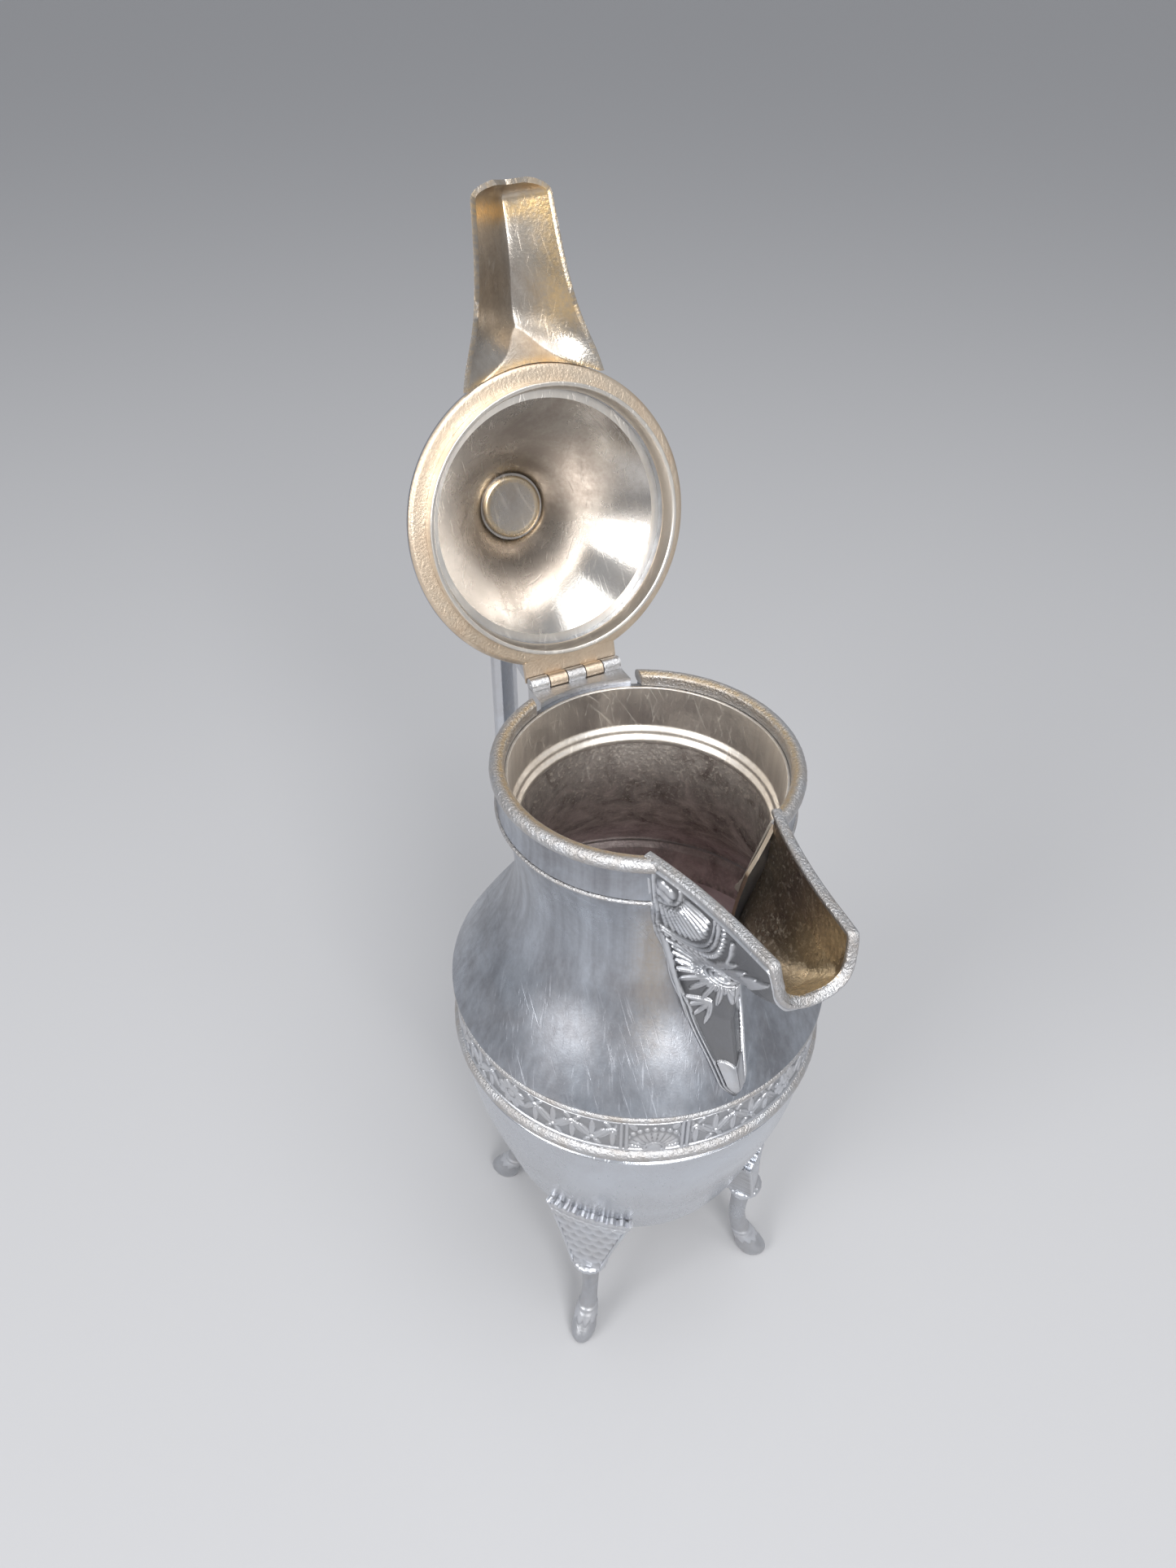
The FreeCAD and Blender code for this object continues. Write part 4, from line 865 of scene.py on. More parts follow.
def fan_of_petals(x, z):
    """Petals that spread from the scales, closed by an arch and a row of pearls."""
    rho, phi = far_from(x, z, FAN), np.degrees(np.arctan2(z - FAN[1], x - FAN[0]))
    parts = [petal(x, z, place_at(FAN, 7.6, a), place_at(FAN, 16.2, a), 0.72, 0.15, 1.3)
             for a in np.radians(np.linspace(-86, -6, 11))]
    arch = highest(line_ridge(rho - 17.6, 0.42), line_ridge(rho - 18.8, 0.42))
    pearls = line_ridge(np.hypot(((phi / 5.2) % 1 - 0.5) * 1.8, rho - 20.5), 0.8)
    return highest(*parts, arch, 0.9 * pearls)


def scale_group(x, z):
    """Four overlapping round scales inside a plain frame."""
    discs = [line_ridge(far_from(x, z, middle), 1.7)
             for middle in ((37.1, 211.4), (39.4, 210.7), (38.2, 208.3), (35.6, 209.0))]
    frame_line = line_ridge(far_from(x, z, FAN) - 6.7, 0.45)
    return highest(*discs, frame_line)


def low_daisy(x, z):
    """Daisy on the keel: rings in the middle, two rows of narrow petals and a sprig under it."""
    rho = far_from(x, z, DAISY)
    long_row = rosette(x, z, DAISY, 4.4, 11.6, 22, 0.74, 0.1)
    short_row = rosette(x, z, DAISY, 3.4, 6.8, 22, 0.5, 0.1 + np.pi / 22)
    rings = highest(line_ridge(rho - 1.2, 0.5), line_ridge(rho - 2.4, 0.45), line_ridge(rho - 3.6, 0.45))
    petals = highest(long_row, short_row) * (rho > 4.1)
    sprig_tips = ((37.4, 169.2), (38.4, 166.4), (40.6, 164.2), (43.4, 163))
    sprig = [petal(x, z, (43.6, 171.6), tip, 0.7, 0.2) for tip in sprig_tips]
    toe = 0.8 * petal(x, z, (49.6, 153.6), (55.2, 141.6), 2.6, 0.0)
    return highest(petals, rings, toe, *sprig)


def throat_leaves(x, z):
    """Narrow leaves and a ribbon that follow the keel from the daisy to under the lip."""
    parts = [petal(x, z, tail, tip, half, 0.25) for tail, tip, half in (
        ((52, 196.5), (61, 206.4), 0.9), ((54.4, 196.6), (64, 206.8), 0.9),
        ((57.2, 197.8), (67.4, 208.2), 0.9), ((60.5, 199.8), (69.8, 209.4), 0.9),
        ((64, 202), (71.6, 210.8), 0.8))]
    ribbon = line_ridge(far_from(x, z, FAN) - 23.4, 0.5) * (z < 212)
    return highest(ribbon, *parts)


def distance_from_neck(grid):
    """Length along each row from the line where the wall leaves the neck, in millimetres."""
    step = np.linalg.norm(np.diff(grid, axis=1), axis=2)
    run = np.concatenate([np.zeros((len(grid), 1)), np.cumsum(step, axis=1)], axis=1)
    return run[:, -1:] - run - 0.5


def outward(grid):
    """Unit normals of a grid, pointing away from the pot's middle plane."""
    normal = np.cross(np.gradient(grid, axis=1), np.gradient(grid, axis=0))
    normal /= np.linalg.norm(normal, axis=2, keepdims=True) + 1e-9
    return normal * np.sign(normal[..., 1:2] + 1e-9)


SPOUT_RELIEF = 0.85
X, Z = plain_cheek[..., 0], plain_cheek[..., 2]
from_neck = distance_from_neck(plain_cheek)
border = highest(line_ridge(from_neck - 0.8, 0.5), line_ridge(from_neck - 2.1, 0.45))
inside_border = np.clip((from_neck - 2.6) / 0.4, 0, 1)
edge_gap = plain_cheek[-1, :, 2][None, :] - Z
strip = line_ridge(edge_gap - 2.3, 0.4)
under_strip = np.clip((edge_gap - 2.7) / 0.4, 0, 1)
motifs = highest(fan_of_petals(X, Z), scale_group(X, Z), low_daisy(X, Z), throat_leaves(X, Z))
spout_height = highest(motifs * inside_border * under_strip, border, strip * inside_border)
spout_height = spout_height * np.clip(from_neck / 0.5, 0, 1) * np.clip((Z - 143) / 3, 0, 1)
chased = plain_cheek + outward(plain_cheek) * (SPOUT_RELIEF * spout_height)[..., None]
chased[:, 0] = plain_cheek[:, 0]
print("relief covers", round(float((spout_height > 0.2).mean()), 2), "of the cheek")

# %% [markdown]
# ### Two cheeks
#
# Each cheek is a wall with the chased face outside and a plain trough inside, with a painted warm
# highlight towards the lip. A small oval boss shows on the floor of the trough, on one side only.
# Strips close the wall at its top, at its foot on the neck, along the keel and along the neck.

# %% Spout cheeks
TROUGH_LOW = 160.0
trough = cheek_grid(WAY, np.linspace(1, 0, 120), SPOUT_WALL, TROUGH_LOW)
# Painted highlight: the trough turns golden and bright towards the lip.
trough_painted_highlight = np.clip((trough[..., 0] - 50) / 16, 0, 1) * np.clip((trough[..., 2] - 186) / 14, 0, 1)
boss = np.hypot((trough[..., 0] - 63.5) / 4.6, (trough[..., 1] - 4.6) / 2.6)
boss_height = highest(line_ridge(boss - 1.0, 0.22), line_ridge(boss - 0.45, 0.25))
floor_y = trough[-1, :, 1]
floor_r = neck_radius(TROUGH_LOW) - ROOT_SINK
floor_row = np.stack([np.sqrt(floor_r ** 2 - np.minimum(floor_y, floor_r - 1) ** 2), floor_y,
                      np.full_like(floor_y, TROUGH_LOW)], -1)[None]
for side, name in ((1, "spout_left"), (-1, "spout_right")):
    mirrored = np.array([1, side, 1])
    raised = trough + np.array([0, 0, 1]) * (0.45 * boss_height * (side < 0))[..., None]
    out_face, in_face, low_row = chased * mirrored, raised * mirrored, floor_row * mirrored
    make_piece(name + "_cheek",
               [sheet(out_face, relief=0.1 + 0.9 * spout_height, finish=0),
                sheet(in_face, tint=0.75 * trough_painted_highlight, finish=1),
                sheet(np.stack([out_face[-1], in_face[0]]), finish=2),
                sheet(np.stack([in_face[-1], low_row[0], out_face[0]]), finish=1)]
               + [sheet(np.concatenate([out_face[:, k], in_face[:, k], low_row[:, k]])[None],
                        caps=("row0",)) for k in (0, -1)],
               "pot", [CAST, TROUGH, RIM], [name], crease=80)

# %% [markdown]
# ## Lip moulding
#
# A rounded strip runs along both cheeks and round the pouring lip. Its section is carried along the
# edge on a frame of three directions: along the edge, away from the trough, and out past the edge.

# %% Lip strip
def along_path(path, across, rise, section):
    """Grid of a section carried along a path: path + across * first number + rise * second number."""
    return path[None] + section[:, 0, None, None] * across[None] + section[:, 1, None, None] * rise[None]


edge_half = cheek_grid(WAY, np.array([0.97, 1.0]), 0.0, TOE)
mirror = np.array([1, -1, 1])
edge = np.concatenate([edge_half[-1, ::-1] * mirror, edge_half[-1, 1:]])
below_edge = np.concatenate([edge_half[0, ::-1] * mirror, edge_half[0, 1:]])
tangent = unit(np.gradient(edge, axis=0))
rise = edge - below_edge
rise = unit(rise - tangent * (rise * tangent).sum(1, keepdims=True))
away = unit(np.cross(tangent, rise))
lip_corners = [(-1.95, -1.6), (0.55, -1.6), (0.6, -0.4), (0.1, 0.0), (-1.6, 0.0), (-2.1, -0.4)]
lip_section = soften(lip_corners, 0.45, 5)
lip = along_path(edge, away, rise, lip_section)
make_piece("lip_strip", [rod_sheet(lip, relief=0.8)],
           "pot", [RIM], ["lip_bead"])

# %% [markdown]
# ## Feet
#
# Each foot is one casting: a fan-shaped bracket that lies on the bowl, with scales and a scalloped
# edge, a cushion ring, and a slim leg that swells into a hoof with a zigzag cuff. The foot is built
# once on the +X side and then turned to its four places.

# %% Foot parts
def scales(u, v, width, height):
    """Overlapping scales that hang down: discs in staggered rows, each rising from its middle to its
    free edge, with every row laid over the tips of the row below it."""
    reach = 0.62 * width
    height_map = np.zeros(u.shape)
    for shift in (0, 1, 2):
        tier = np.floor(v / height) + shift
        side = ((u / width + 0.5 * (tier % 2)) % 1 - 0.5) * width
        far = np.hypot(side, tier * height - v) / reach
        height_map = np.where(far < 1, 0.3 + 0.7 * far ** 2, height_map)
    return height_map


FAN_LOW, FAN_TOP, FAN_R, FAN_SPAN = 41.6, 73.0, 46.3, 29
FOOT_R, LEG_H = 42.0, 40.6
u, v = np.meshgrid(np.linspace(-1, 1, 150), np.linspace(0, 1, 170))
lobes = np.abs(np.sin(u * 4.5 * np.pi))
fan_z = FAN_LOW + (FAN_TOP - 2.2 - FAN_LOW) * v + v ** 8 * (1.1 * lobes - 1.4 * u ** 2)
fan_half = 5.5 + 8.8 * v ** 1.15
fan_u = u * fan_half
rim_beads = line_ridge(np.hypot(((u * 4.5) % 1 - 0.5) * 3.0, (1 - v) * FAN_SPAN - 1.3), 1.25)
rim_beads = highest(rim_beads, 0.6 * (v > 0.9))
fan_scales = scales(fan_u, fan_z, 4.2, 3.4) * (v < 0.88)
fan_side = line_ridge((1 - np.abs(u)) * fan_half - 0.6, 0.6)
fan_height = highest(0.9 * fan_scales * ((1 - np.abs(u)) * fan_half > 1.2), rim_beads, fan_side,
                     line_ridge((v - 0.9) * FAN_SPAN, 0.45))
fan_r = FAN_R - 1.2 * (1 - v) * v + 0.9 * (fan_height - 1)
fan_angle = fan_u / FAN_R
fan_face = round_axis(fan_r, fan_angle, fan_z)
thick = 9.0 * (1 - v) ** 1.5 + 2.2
fan_back_r = np.maximum(bowl_radius(fan_z) + 0.05, fan_r - thick)
fan_back_r = np.minimum(fan_back_r, fan_r - 0.4)
fan_back = round_axis(fan_back_r, fan_angle, fan_z)
fan_sheets = [sheet(fan_face, relief=0.36 + 0.64 * fan_height), sheet(fan_back, relief=0.5),
              *edge_strips(fan_face, fan_back, relief=0.7)]

ring_t = np.linspace(0, np.pi, 15)
bulge = np.stack([4.6 + 1.5 * np.sin(ring_t), 40.7 - 1.3 * np.cos(ring_t)], -1)
cushion = np.concatenate([[(0.0, 39.4)], bulge, [(0.0, 42.0)]])
ring_grid = swept(cushion, 120)
ring_lobe = 0.18 * np.abs(np.sin(10 * angle_of(ring_grid)))
ring_grid = push_out(ring_grid, -ring_lobe * (cushion[:, :1] > 4.5)) + np.array([FOOT_R, 0, 0])

LEG_LEVEL = np.array([1.0, 0.66, 0.36, 0.17, 0.07, 0.0])
LEG_PLACE = [0, -0.14, 0.1, 0.74, 1, 1]
LEG_LONG, LEG_SHORT = [3.6, 2.9, 3.1, 4.3, 5.4, 4.3], [3.4, 2.8, 2.8, 3.8, 4.0, 3.0]
leg_table = np.stack([LEG_PLACE, LEG_LONG, LEG_SHORT], -1)
leg_level = np.linspace(0, 1, 90)
leg_place, leg_long, leg_short = natural_spline(LEG_LEVEL[::-1], leg_table[::-1], leg_level).T
around = np.linspace(0, TURN, 80, endpoint=False)
leg_z = LEG_H * leg_level
cuff_z = 7.6 + 1.5 * np.abs((around * 9 / TURN) % 1 - 0.5) * 2
cuff = np.clip((leg_z[:, None] - cuff_z[None]) / 0.5, 0, 1) * np.clip((11.6 - leg_z[:, None]) / 0.5, 0, 1)
leg_rings = highest(*[line_ridge(leg_z - z, half) for z, half in ((35.4, 0.8), (37.6, 0.6), (12.4, 0.6))])
leg_add = 0.45 * cuff + 0.45 * leg_rings[:, None]
leg_x = FOOT_R + 6.0 * leg_place[:, None]
leg_grid = np.stack([leg_x + (leg_long[:, None] + leg_add) * np.cos(around)[None],
                     (leg_short[:, None] + leg_add) * np.sin(around)[None],
                     leg_z[:, None] + 0 * around[None]], -1)
leg_relief = np.clip(0.55 + 0.45 * highest(cuff, leg_rings[:, None] + 0 * cuff), 0, 1)
foot_sheets = fan_sheets + [turned_sheet(ring_grid, relief=0.8),
                            turned_sheet(leg_grid, relief=leg_relief, caps=("row0", "row1"))]


def turned_about(points, degrees):
    """Points turned about the pot's axis."""
    c, s = math.cos(math.radians(degrees)), math.sin(math.radians(degrees))
    return points @ np.array([[c, s, 0], [-s, c, 0], [0, 0, 1]])


for name, degrees in (("foot_front_left", 45), ("foot_rear_left", 135), ("foot_rear_right", 225),
                      ("foot_front_right", 315)):
    parts = [{**s, "points": turned_about(s["points"], degrees)} for s in foot_sheets]
    make_piece(name + "_cast", parts, "pot", [CAST], [name], crease=70)

# %% [markdown]
# ## Handle
#
# The bracket handle is one bar with flat sides and broken corners, bent twice. Its two corners are
# arcs that leave one straight and meet the next without a kink, and one section runs along them all.

# %% Handle bar
def bend(before, corner, after, radius, count=22):
    """Points of the tangent arc that rounds a corner."""
    a, b = unit(before - corner), unit(after - corner)
    half = math.acos(float(a @ b)) / 2
    centre = corner + unit(a + b) * radius / math.sin(half)
    start, end = corner + a * radius / math.tan(half), corner + b * radius / math.tan(half)
    t = np.linspace(0, 1, count)[:, None]
    way = (1 - t) * (start - centre) + t * (end - centre)
    return centre + unit(way) * radius


top_root, top_bend = np.array([-34.7, 194.0]), np.array([-96.0, 205.0])
low_bend, low_root = np.array([-96.0, 141.0]), np.array([-51.3, 101.0])
arm_top, arm_low = unit(top_bend - top_root), unit(low_bend - low_root)
BAR_FROM_ROOT = 8.2
bar_start, bar_end = top_root + arm_top * BAR_FROM_ROOT, low_root + arm_low * BAR_FROM_ROOT
t = np.linspace(0, 1, 24)[:, None]
upper = bend(bar_start, top_bend, low_bend, 12.0)
lower = bend(top_bend, low_bend, bar_end, 14.0)
line_xz = np.concatenate([bar_start + (upper[0] - bar_start) * t[:-1], upper,
                          upper[-1] + (lower[0] - upper[-1]) * t[1:-1], lower,
                          lower[-1] + (bar_end - lower[-1]) * t[1:]])
path = np.stack([line_xz[:, 0], 0 * line_xz[:, 0], line_xz[:, 1]], -1)
forward = unit(np.gradient(path, axis=0))
sideways = np.broadcast_to(np.array([0.0, 1.0, 0.0]), path.shape)
outwards = np.cross(forward, sideways)
bar_corners = [(2.2, -3.3), (4.0, -1.5), (4.0, 1.5), (2.2, 3.3), (-2.2, 3.3), (-4.0, 1.5), (-4.0, -1.5),
               (-2.2, -3.3)]
bar_section = soften(bar_corners, 0.5, 4)
bar = along_path(path, sideways, outwards, bar_section)
make_piece("handle_bar", [rod_sheet(bar, relief=0.85)],
           "pot", [CAST], ["handle_grip"])

# %% [markdown]
# ### Sockets
#
# The handle sits in two round sockets on the body, each with a bead round its end. A silversmith files
# the foot of a socket until it fits the wall. Here the length of each line along the socket is found
# by halving, until it just sinks into the wall.

# %% Sockets
SOCKET_LONG, SOCKET_SINK, SOCKET_REACH = 8.6, 0.4, 8.0


def socket_grid(root, along, wall, profile, cols=96):
    """Turned socket whose foot is scribed to the wall; wall(z) gives the body's radius."""
    axis = np.array([along[0], 0, along[1]])
    side = np.array([0.0, 1.0, 0.0])
    up = np.cross(axis, side)
    turn = np.linspace(0, TURN, cols, endpoint=False)
    spoke = np.cos(turn)[:, None] * side + np.sin(turn)[:, None] * up
    origin = np.array([root[0], 0, root[1]])

    def inside(d):
        p = origin + axis * d[:, None] + spoke * profile[0][0]
        return np.hypot(p[:, 0], p[:, 1]) < wall(p[:, 2]) - SOCKET_SINK
    foot = halve(inside, np.full(cols, -SOCKET_REACH), np.full(cols, SOCKET_REACH))
    r = np.array([p[0] for p in profile])[:, None]
    share = np.array([p[1] for p in profile])[:, None]
    d = foot[None] + (SOCKET_LONG - foot[None]) * share
    return origin + axis * d[..., None] + spoke[None] * r[..., None]


t = np.linspace(0, np.pi, 9)
socket_profile = [(6.6, 0.0), (6.5, 0.1), (6.35, 0.35), (6.35, 0.55)]
socket_profile += [(6.5 + 1.0 * math.sin(a), 0.74 - 0.13 * math.cos(a)) for a in t]
socket_profile += [(6.3, 0.9), (5.6, 0.97), (4.6, 1.0), (0.0, 1.0)]
for name, root, along, wall in (("handle_upper_socket", top_root, arm_top, neck_radius),
                                ("handle_lower_socket", low_root, arm_low, bowl_radius)):
    grid = socket_grid(root, along, wall, socket_profile)
    make_piece(name + "_ring", [turned_sheet(grid, caps=("row0",), relief=0.8)],
               "pot", [CAST], [name])

# %% [markdown]
# ## Lid
#
# The lid is drawn closed and then swung open about the hinge, exactly as far as it hangs in the
# picture. That way every profile keeps the heights that it has on the mouth.

# %% Swinging the lid
HINGE_X, HINGE_Z, FLANGE_Z = -42.1, 216.0, 217.55
OPEN_DEGREES = -105.4
OPEN = math.radians(OPEN_DEGREES)


def swung(points):
    """Points of the closed lid turned about the hinge line to the open pose."""
    dx, dz = points[..., 0] - HINGE_X, points[..., 2] - HINGE_Z
    c, s = math.cos(OPEN), math.sin(OPEN)
    return np.stack([HINGE_X + dx * c + dz * s, points[..., 1], HINGE_Z - dx * s + dz * c], -1)


def lid_piece(name, sheets, finishes, nodes, crease=42):
    """A piece drawn on the closed lid, made in the open pose."""
    parts = [{**s, "points": swung(s["points"])} for s in sheets]
    return make_piece(name, parts, "lid", finishes, nodes, crease)


print("lid opens by", -OPEN_DEGREES, "degrees about x", HINGE_X, "z", HINGE_Z, "mm")

# %% [markdown]
# ### Dome, flange and bezel
#
# The inside of the lid faces the viewer: a broad tan flange, a bright bezel ring that drops into the
# mouth, and a tall dome with a small plate at the top where the knob is riveted on. The dome is spun
# from one sheet, so it has an outer and an inner profile with a flat foot between them.

# %% Dome, flange and bezel
dome_out = curve_through([(31.6, 220.2), (25.4, 227.15), (15.0, 240.15), (9.6, 248.15)], 60)
dome_in = curve_through([(30.7, 220.2), (24.5, 226.7), (14.1, 239.6), (9.24, 247.25)], 60)
foot_ring = [(30.7, 220.2), (34.5, 220.2), (34.5, 221.05), (32.2, 221.1)]
dome_outer = np.concatenate([foot_ring[1:], dome_out[3:], [(9.0, 248.2), (0.0, 248.2)]])
dome_inner = np.concatenate([dome_in, [(8.6, 247.3), (0.0, 247.3)]])
outer_grid, inner_grid = swept(dome_outer, 240), swept(dome_inner, 240)
outer_free = (dome_outer[:, :1] > 1) * (dome_outer[:, 1:] > 222)
inner_free = (dome_inner[:, :1] > 9) * (dome_inner[:, 1:] > 221)
outer_grid = push_out(outer_grid, hand_waves(outer_grid, 0.05) * outer_free)
inner_grid = push_out(inner_grid, hand_waves(inner_grid, 0.06) * inner_free)
lid_piece("dome", [turned_sheet(outer_grid, finish=0),
                   turned_sheet(inner_grid, finish=1),
                   turned_sheet(np.stack([inner_grid[0], outer_grid[0]]), finish=2)],
          [BODY, DOME_IN, BRIGHT], ["lid_dome"])

flange_corners = [(32.8, 217.62), (38.5, 217.62), (39.2, 218.4), (39.2, 219.3), (38.4, 220.15),
                  (32.8, 220.15)]
flange_profile = soften(flange_corners, [0.2, 0.7, 0.5, 0.5, 0.7, 0.1], 7)
flange = swept(flange_profile, 320)
flange_wave = 0.02 * np.sin(9 * angle_of(flange))
flange = flange + np.array([0, 0, 1]) * flange_wave[..., None]
TAN_ROWS = 18
tan_side, silver_side = flange[:TAN_ROWS], np.concatenate([flange[TAN_ROWS - 1:], flange[:1]])
lid_piece("flange", [turned_sheet(tan_side, finish=0),
                     turned_sheet(silver_side, finish=1)],
          [TAN, BODY], ["lid_flange"])

bezel_corners = [(34.8, 213.45), (34.8, 217.55), (32.8, 217.55), (33.2, 215.6), (33.75, 213.6)]
bezel_profile = soften(bezel_corners, [0.35, 0.1, 0.1, 0.8, 0.3], 7)
bezel = swept(bezel_profile, 320)
lid_piece("bezel", [sheet(bezel, wrap=(True, True), relief=0.9)],
          [BRIGHT], ["lid_bezel"])

plate_profile = [(0.0, 246.36), (6.6, 246.36), (7.0, 246.3), (7.6, 246.22), (8.2, 246.3), (8.55, 246.6),
                 (8.55, 247.15), (0.0, 247.15)]
plate = swept(plate_profile, 120)
plate_warm = np.clip((np.array(plate_profile)[:, 0] - 6.4) / 0.8, 0, 1)[:, None]
lid_piece("apex_disc", [turned_sheet(plate, tint=0.7 * plate_warm)],
          [DOME_IN], ["apex_plate"])

# %% [markdown]
# ## Finial
#
# The knob is not seen in the picture. A plain turned bud on a stepped base suits a pot of this kind,
# with shallow lobes cut round it so that it can be gripped.

# %% Finial
step_curve = curve_through([(8.4, 248.5), (8.35, 249.2), (5.4, 249.85), (3.5, 251.35)], 18)
base_profile = np.concatenate([[(0.0, 248.22), (8.3, 248.22)], step_curve, [(0.0, 251.38)]])
lid_piece("finial_step", [turned_sheet(swept(base_profile, 120), relief=0.85)],
          [CAST], ["finial_base"])
bud = curve_through([(2.6, 251.45), (2.6, 253.65), (7.0, 260.45), (2.6, 266.95), (1.0, 269.4)], 60)
knob_profile = np.concatenate([[(0.0, 251.45)], bud, [(0.0, 269.45)]])
knob = swept(knob_profile, 160)
lobe = np.abs(np.sin(6 * angle_of(knob)))
fade = np.exp(-((knob_profile[:, 1:2] - 260.5) / 4.5) ** 2)
knob = push_out(knob, (-0.55 * (1 - lobe) * fade) * (knob_profile[:, :1] > 2.8))
knob_relief = 0.5 + 0.5 * np.sqrt(lobe) * fade + 0.5 * (1 - fade)
lid_piece("finial_bud", [turned_sheet(knob, relief=knob_relief)],
          [CAST], ["finial_knob"])

# %% [markdown]
# ## Hood
#
# A roof-shaped hood reaches from the lid over the spout. Its ridge climbs from a triangular hip at
# the flange and then runs almost level to a rounded end. Each section falls from the ridge to both
# edges a little more quickly than a straight roof. The wall is closed round its free edges.

# %% Hood sections
ROOF_X = np.array([33.3, 39.2, 47.0, 59.5, 75.0])
ROOF_HALF = np.array([19.6, 18.0, 15.1, 12.2, 10.5])
ROOF_HIGH = np.array([2.6, 3.6, 9.4, 8.5, 7.6])
NOSE_X, NOSE_LONG, HOOD_WALL = ROOF_X[-1], 4.6, 1.2


def roof(x, s, inset):
    """Place on the hood at distance x from the axis and share s across it, drawn in by inset."""
    half = natural_spline(ROOF_X, ROOF_HALF[:, None], x.ravel()).reshape(x.shape) - inset
    high = natural_spline(ROOF_X, (ROOF_HIGH + inset * np.array([1, .5, 0, 0, 0]))[:, None],
                          x.ravel()).reshape(x.shape) - inset
    nose = np.clip((x - NOSE_X) / (NOSE_LONG - inset), 0, 1)
    steps = np.linspace(0, 1, 21)
    shrink = np.interp(nose, steps, np.sqrt(1 - (0.93 * steps ** 1.25) ** 2))
    half = np.where(x > NOSE_X, (ROOF_HALF[-1] - inset) * shrink, half)
    high = np.where(x > NOSE_X, (ROOF_HIGH[-1] - inset) * shrink, high)
    fall = 1.5 if inset == 0 else 1.22
    return np.stack([x, half * s, FLANGE_Z + high * (1 - np.abs(s) ** fall)], -1)


even = np.linspace(-1, 1, 81)
share = np.sign(even) * np.abs(even) ** 1.15
NOSE_SHARE = 0.86
toward_end = np.sin(np.linspace(0.06, 1, 26) * np.pi / 2)
place = np.concatenate([np.linspace(0, NOSE_SHARE, 84), NOSE_SHARE + (1 - NOSE_SHARE) * toward_end])
start_x = np.sqrt(39.22 ** 2 - (17.9 * share) ** 2)


def roof_grid(inset, end):
    """Whole face of the hood from the flange to its end."""
    x = start_x[None, :] + (end - start_x)[None, :] * place[:, None]
    return roof(x, share[None, :] + 0 * x, inset)


roof_out, roof_in = roof_grid(0.0, 79.55), roof_grid(HOOD_WALL, 78.4)
hip = FLANGE_Z + 0.5 + (roof_in[..., 0] - start_x[None]) * 0.95
roof_in[..., 2] = np.minimum(roof_in[..., 2], np.maximum(hip, FLANGE_Z))
# Painted highlight: the +Y side of the inside turns golden towards the end; the end band and the solder
# line at the flange are warm too.
roof_painted_highlight = np.clip(roof_in[..., 1] / 9, 0, 1) ** 2 * np.clip((roof_in[..., 0] - 42) / 8, 0, 1)
end_band = np.exp(-((roof_in[..., 0] - 73.5) / 2.4) ** 2)
solder = np.exp(-((roof_in[..., 0] - start_x[None]) / 1.3) ** 2)
warmth_and_painted_highlight = np.clip(0.75 * roof_painted_highlight + 0.8 * end_band + 0.8 * solder, 0, 1)
hood_sheets = [sheet(roof_out, finish=0), sheet(roof_in, finish=1, tint=warmth_and_painted_highlight),
               *edge_strips(roof_out, roof_in, finish=1, tint=0.3)]
lid_piece("hood", hood_sheets, [BODY, HOOD], ["spout_hood", "hood_tip"])

# %% [markdown]
# ## Pieces that keep their CAD shape
#
# The hinge leaves, the pin, the base disc and the stud are plain machined shapes, and the CAD nodes
# already have them right. They only take a finish.

# %% Finishes on CAD nodes
for node, finish in (("hinge_body_leaf", HINGE), ("hinge_pin", HINGE), ("hinge_lid_leaf", TAN),
                     ("base_disc", INSIDE), ("finial_stud", DOME_IN)):
    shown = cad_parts[node]
    for slot in shown.material_slots:
        slot.link = "OBJECT"
        slot.material = finish
    print(node, "takes", finish.name)

# %% [markdown]
# ## Floor
#
# The pot stands on a plain pale sheet, the way a small object is photographed on a table. It is wide
# enough to fill the view from every side, and dull, so that it mirrors nothing.

# %% Floor
FLOOR_R, FLOOR_GREY, FLOOR_ROUGH = 9.0, (0.50, 0.50, 0.51, 1), 0.85
bpy.ops.mesh.primitive_circle_add(vertices=96, radius=FLOOR_R, fill_type="NGON", location=(0, 0, 0))
floor = bpy.context.object
floor.name = "floor"
paper = bpy.data.materials.new("floor_paper")
paper.use_nodes = True
paper_shader = paper.node_tree.nodes["Principled BSDF"]
paper_shader.inputs["Base Color"].default_value = FLOOR_GREY
paper_shader.inputs["Roughness"].default_value = FLOOR_ROUGH
floor.data.materials.append(paper)
print("floor is", floor.dimensions.x, "m wide")

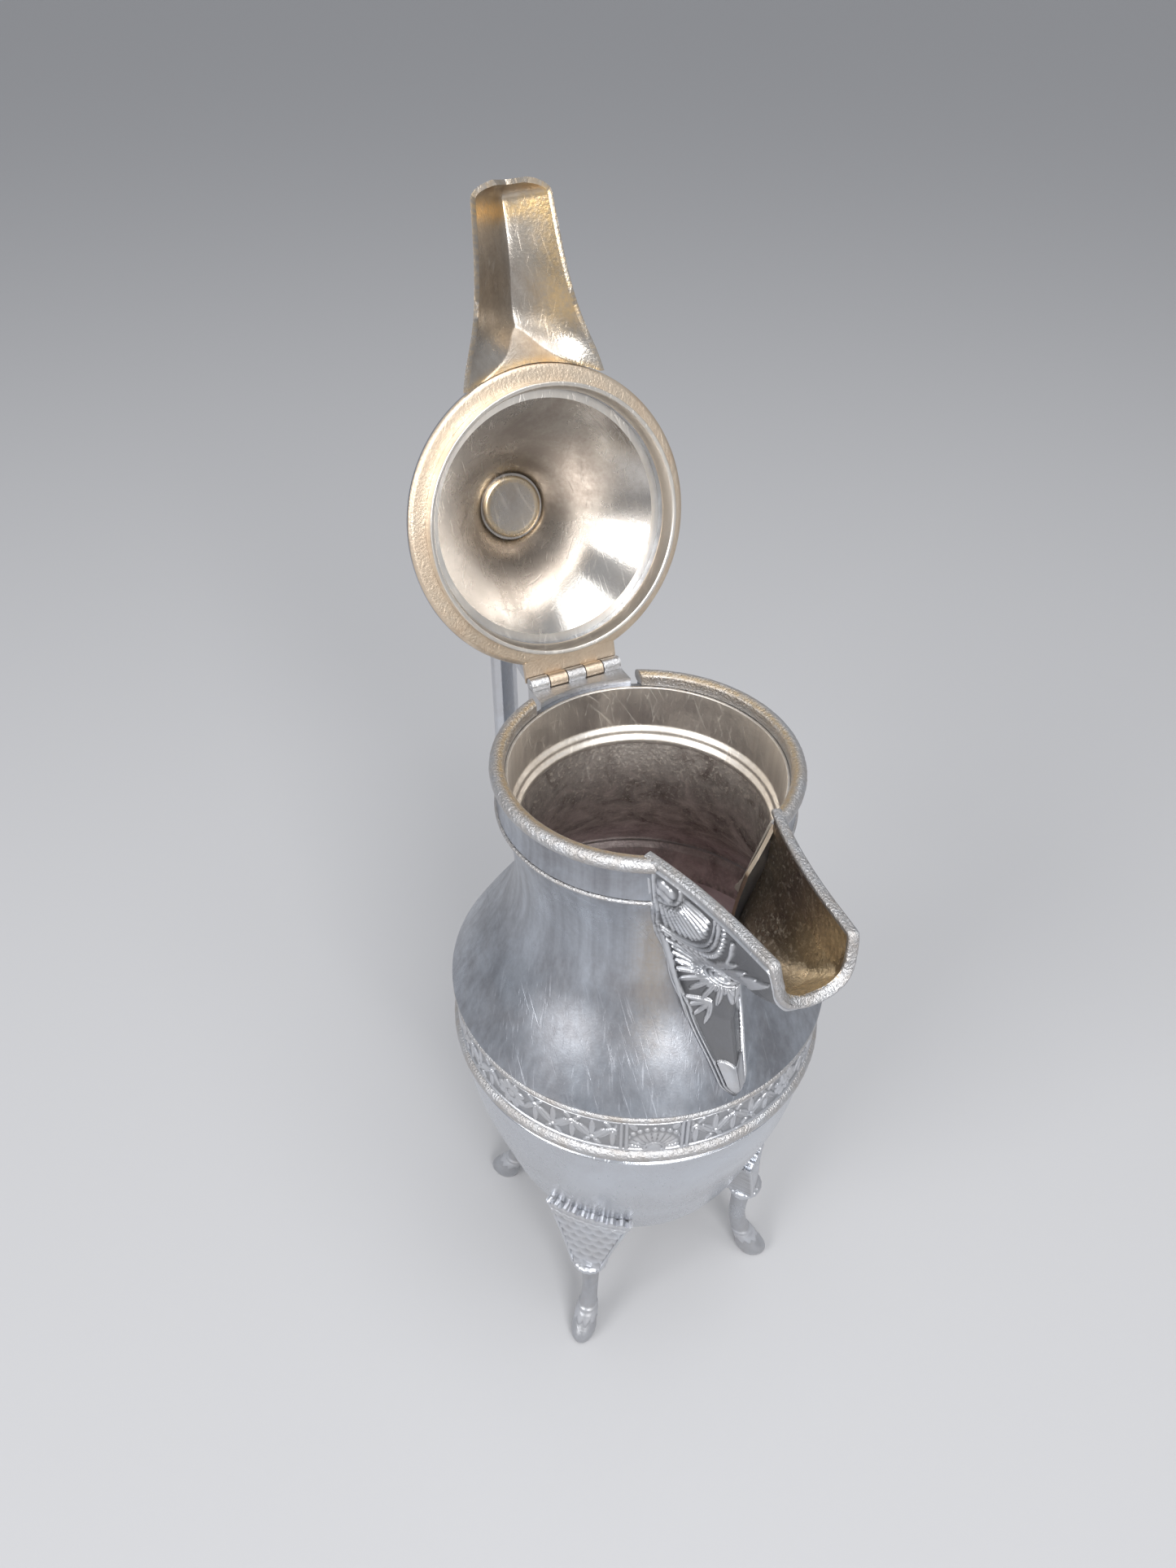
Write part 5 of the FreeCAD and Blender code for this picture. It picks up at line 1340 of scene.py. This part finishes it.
# %% [markdown]
# ## Light
#
# Polished silver shows mostly what stands round it, so the light is an even pale room with three soft
# boxes: one before the spout, one at the viewer's left, and one overhead that reaches into the pot.

# %% Light
ROOM_COLOUR, ROOM_STRENGTH = (0.78, 0.8, 0.84, 1), 0.6
scene = bpy.context.scene
scene.view_settings.view_transform = "Standard"
world = bpy.data.worlds.new("studio") if scene.world is None else scene.world
scene.world = world
world.use_nodes = True
sky = world.node_tree.nodes["Background"]
sky.inputs["Color"].default_value = ROOM_COLOUR
sky.inputs["Strength"].default_value = ROOM_STRENGTH


def soft_box(name, place, aim, size, power):
    """Square area lamp that faces a point."""
    lamp = bpy.data.lights.new(name, "AREA")
    lamp.size = size
    lamp.energy = power
    holder = bpy.data.objects.new(name, lamp)
    scene.collection.objects.link(holder)
    back = unit(np.array(place) - np.array(aim))
    side = unit(np.cross([0, 0, 1], back))
    up = np.cross(back, side)
    turn = Matrix([[*row, 0] for row in np.stack([side, up, back], -1).tolist()] + [[0, 0, 0, 1]])
    holder.matrix_world = Matrix.Translation(place) @ turn
    print(name, "gives", power, "W from", place)
    return holder


soft_box("key_front", (1.26, -0.2, 1.0), (0, 0, 0.14), 0.56, 13.7)
soft_box("fill_left", (0.38, -1.33, 0.95), (0, 0, 0.14), 0.7, 11.8)
soft_box("top", (0.3, 0.05, 1.3), (0, 0, 0.15), 0.7, 6.0)

# %% [markdown]
# ## Camera
#
# The camera stands close, beside the spout, and looks down into the mouth. Its place and its three
# directions were found from the rim, the frieze, the lid and the feet in the picture.

# %% Camera
RIGHT = (0.44326198, 0.89637811, 0.00501086)
UP = (-0.57300698, 0.27904623, 0.77058173)
BACK = (0.68933433, -0.34444084, 0.63732149)
EYE = (0.185557, -0.10938, 0.385142)
lens = bpy.data.cameras.new("camera")
lens.lens, lens.sensor_width = 24.96, 36.0
lens.clip_start, lens.clip_end = 0.01, 50.0
camera = bpy.data.objects.new("camera", lens)
scene.collection.objects.link(camera)
camera.matrix_world = Matrix([*zip(RIGHT, UP, BACK, EYE), (0, 0, 0, 1)])
scene.camera = camera
print("camera stands at", EYE, "m")
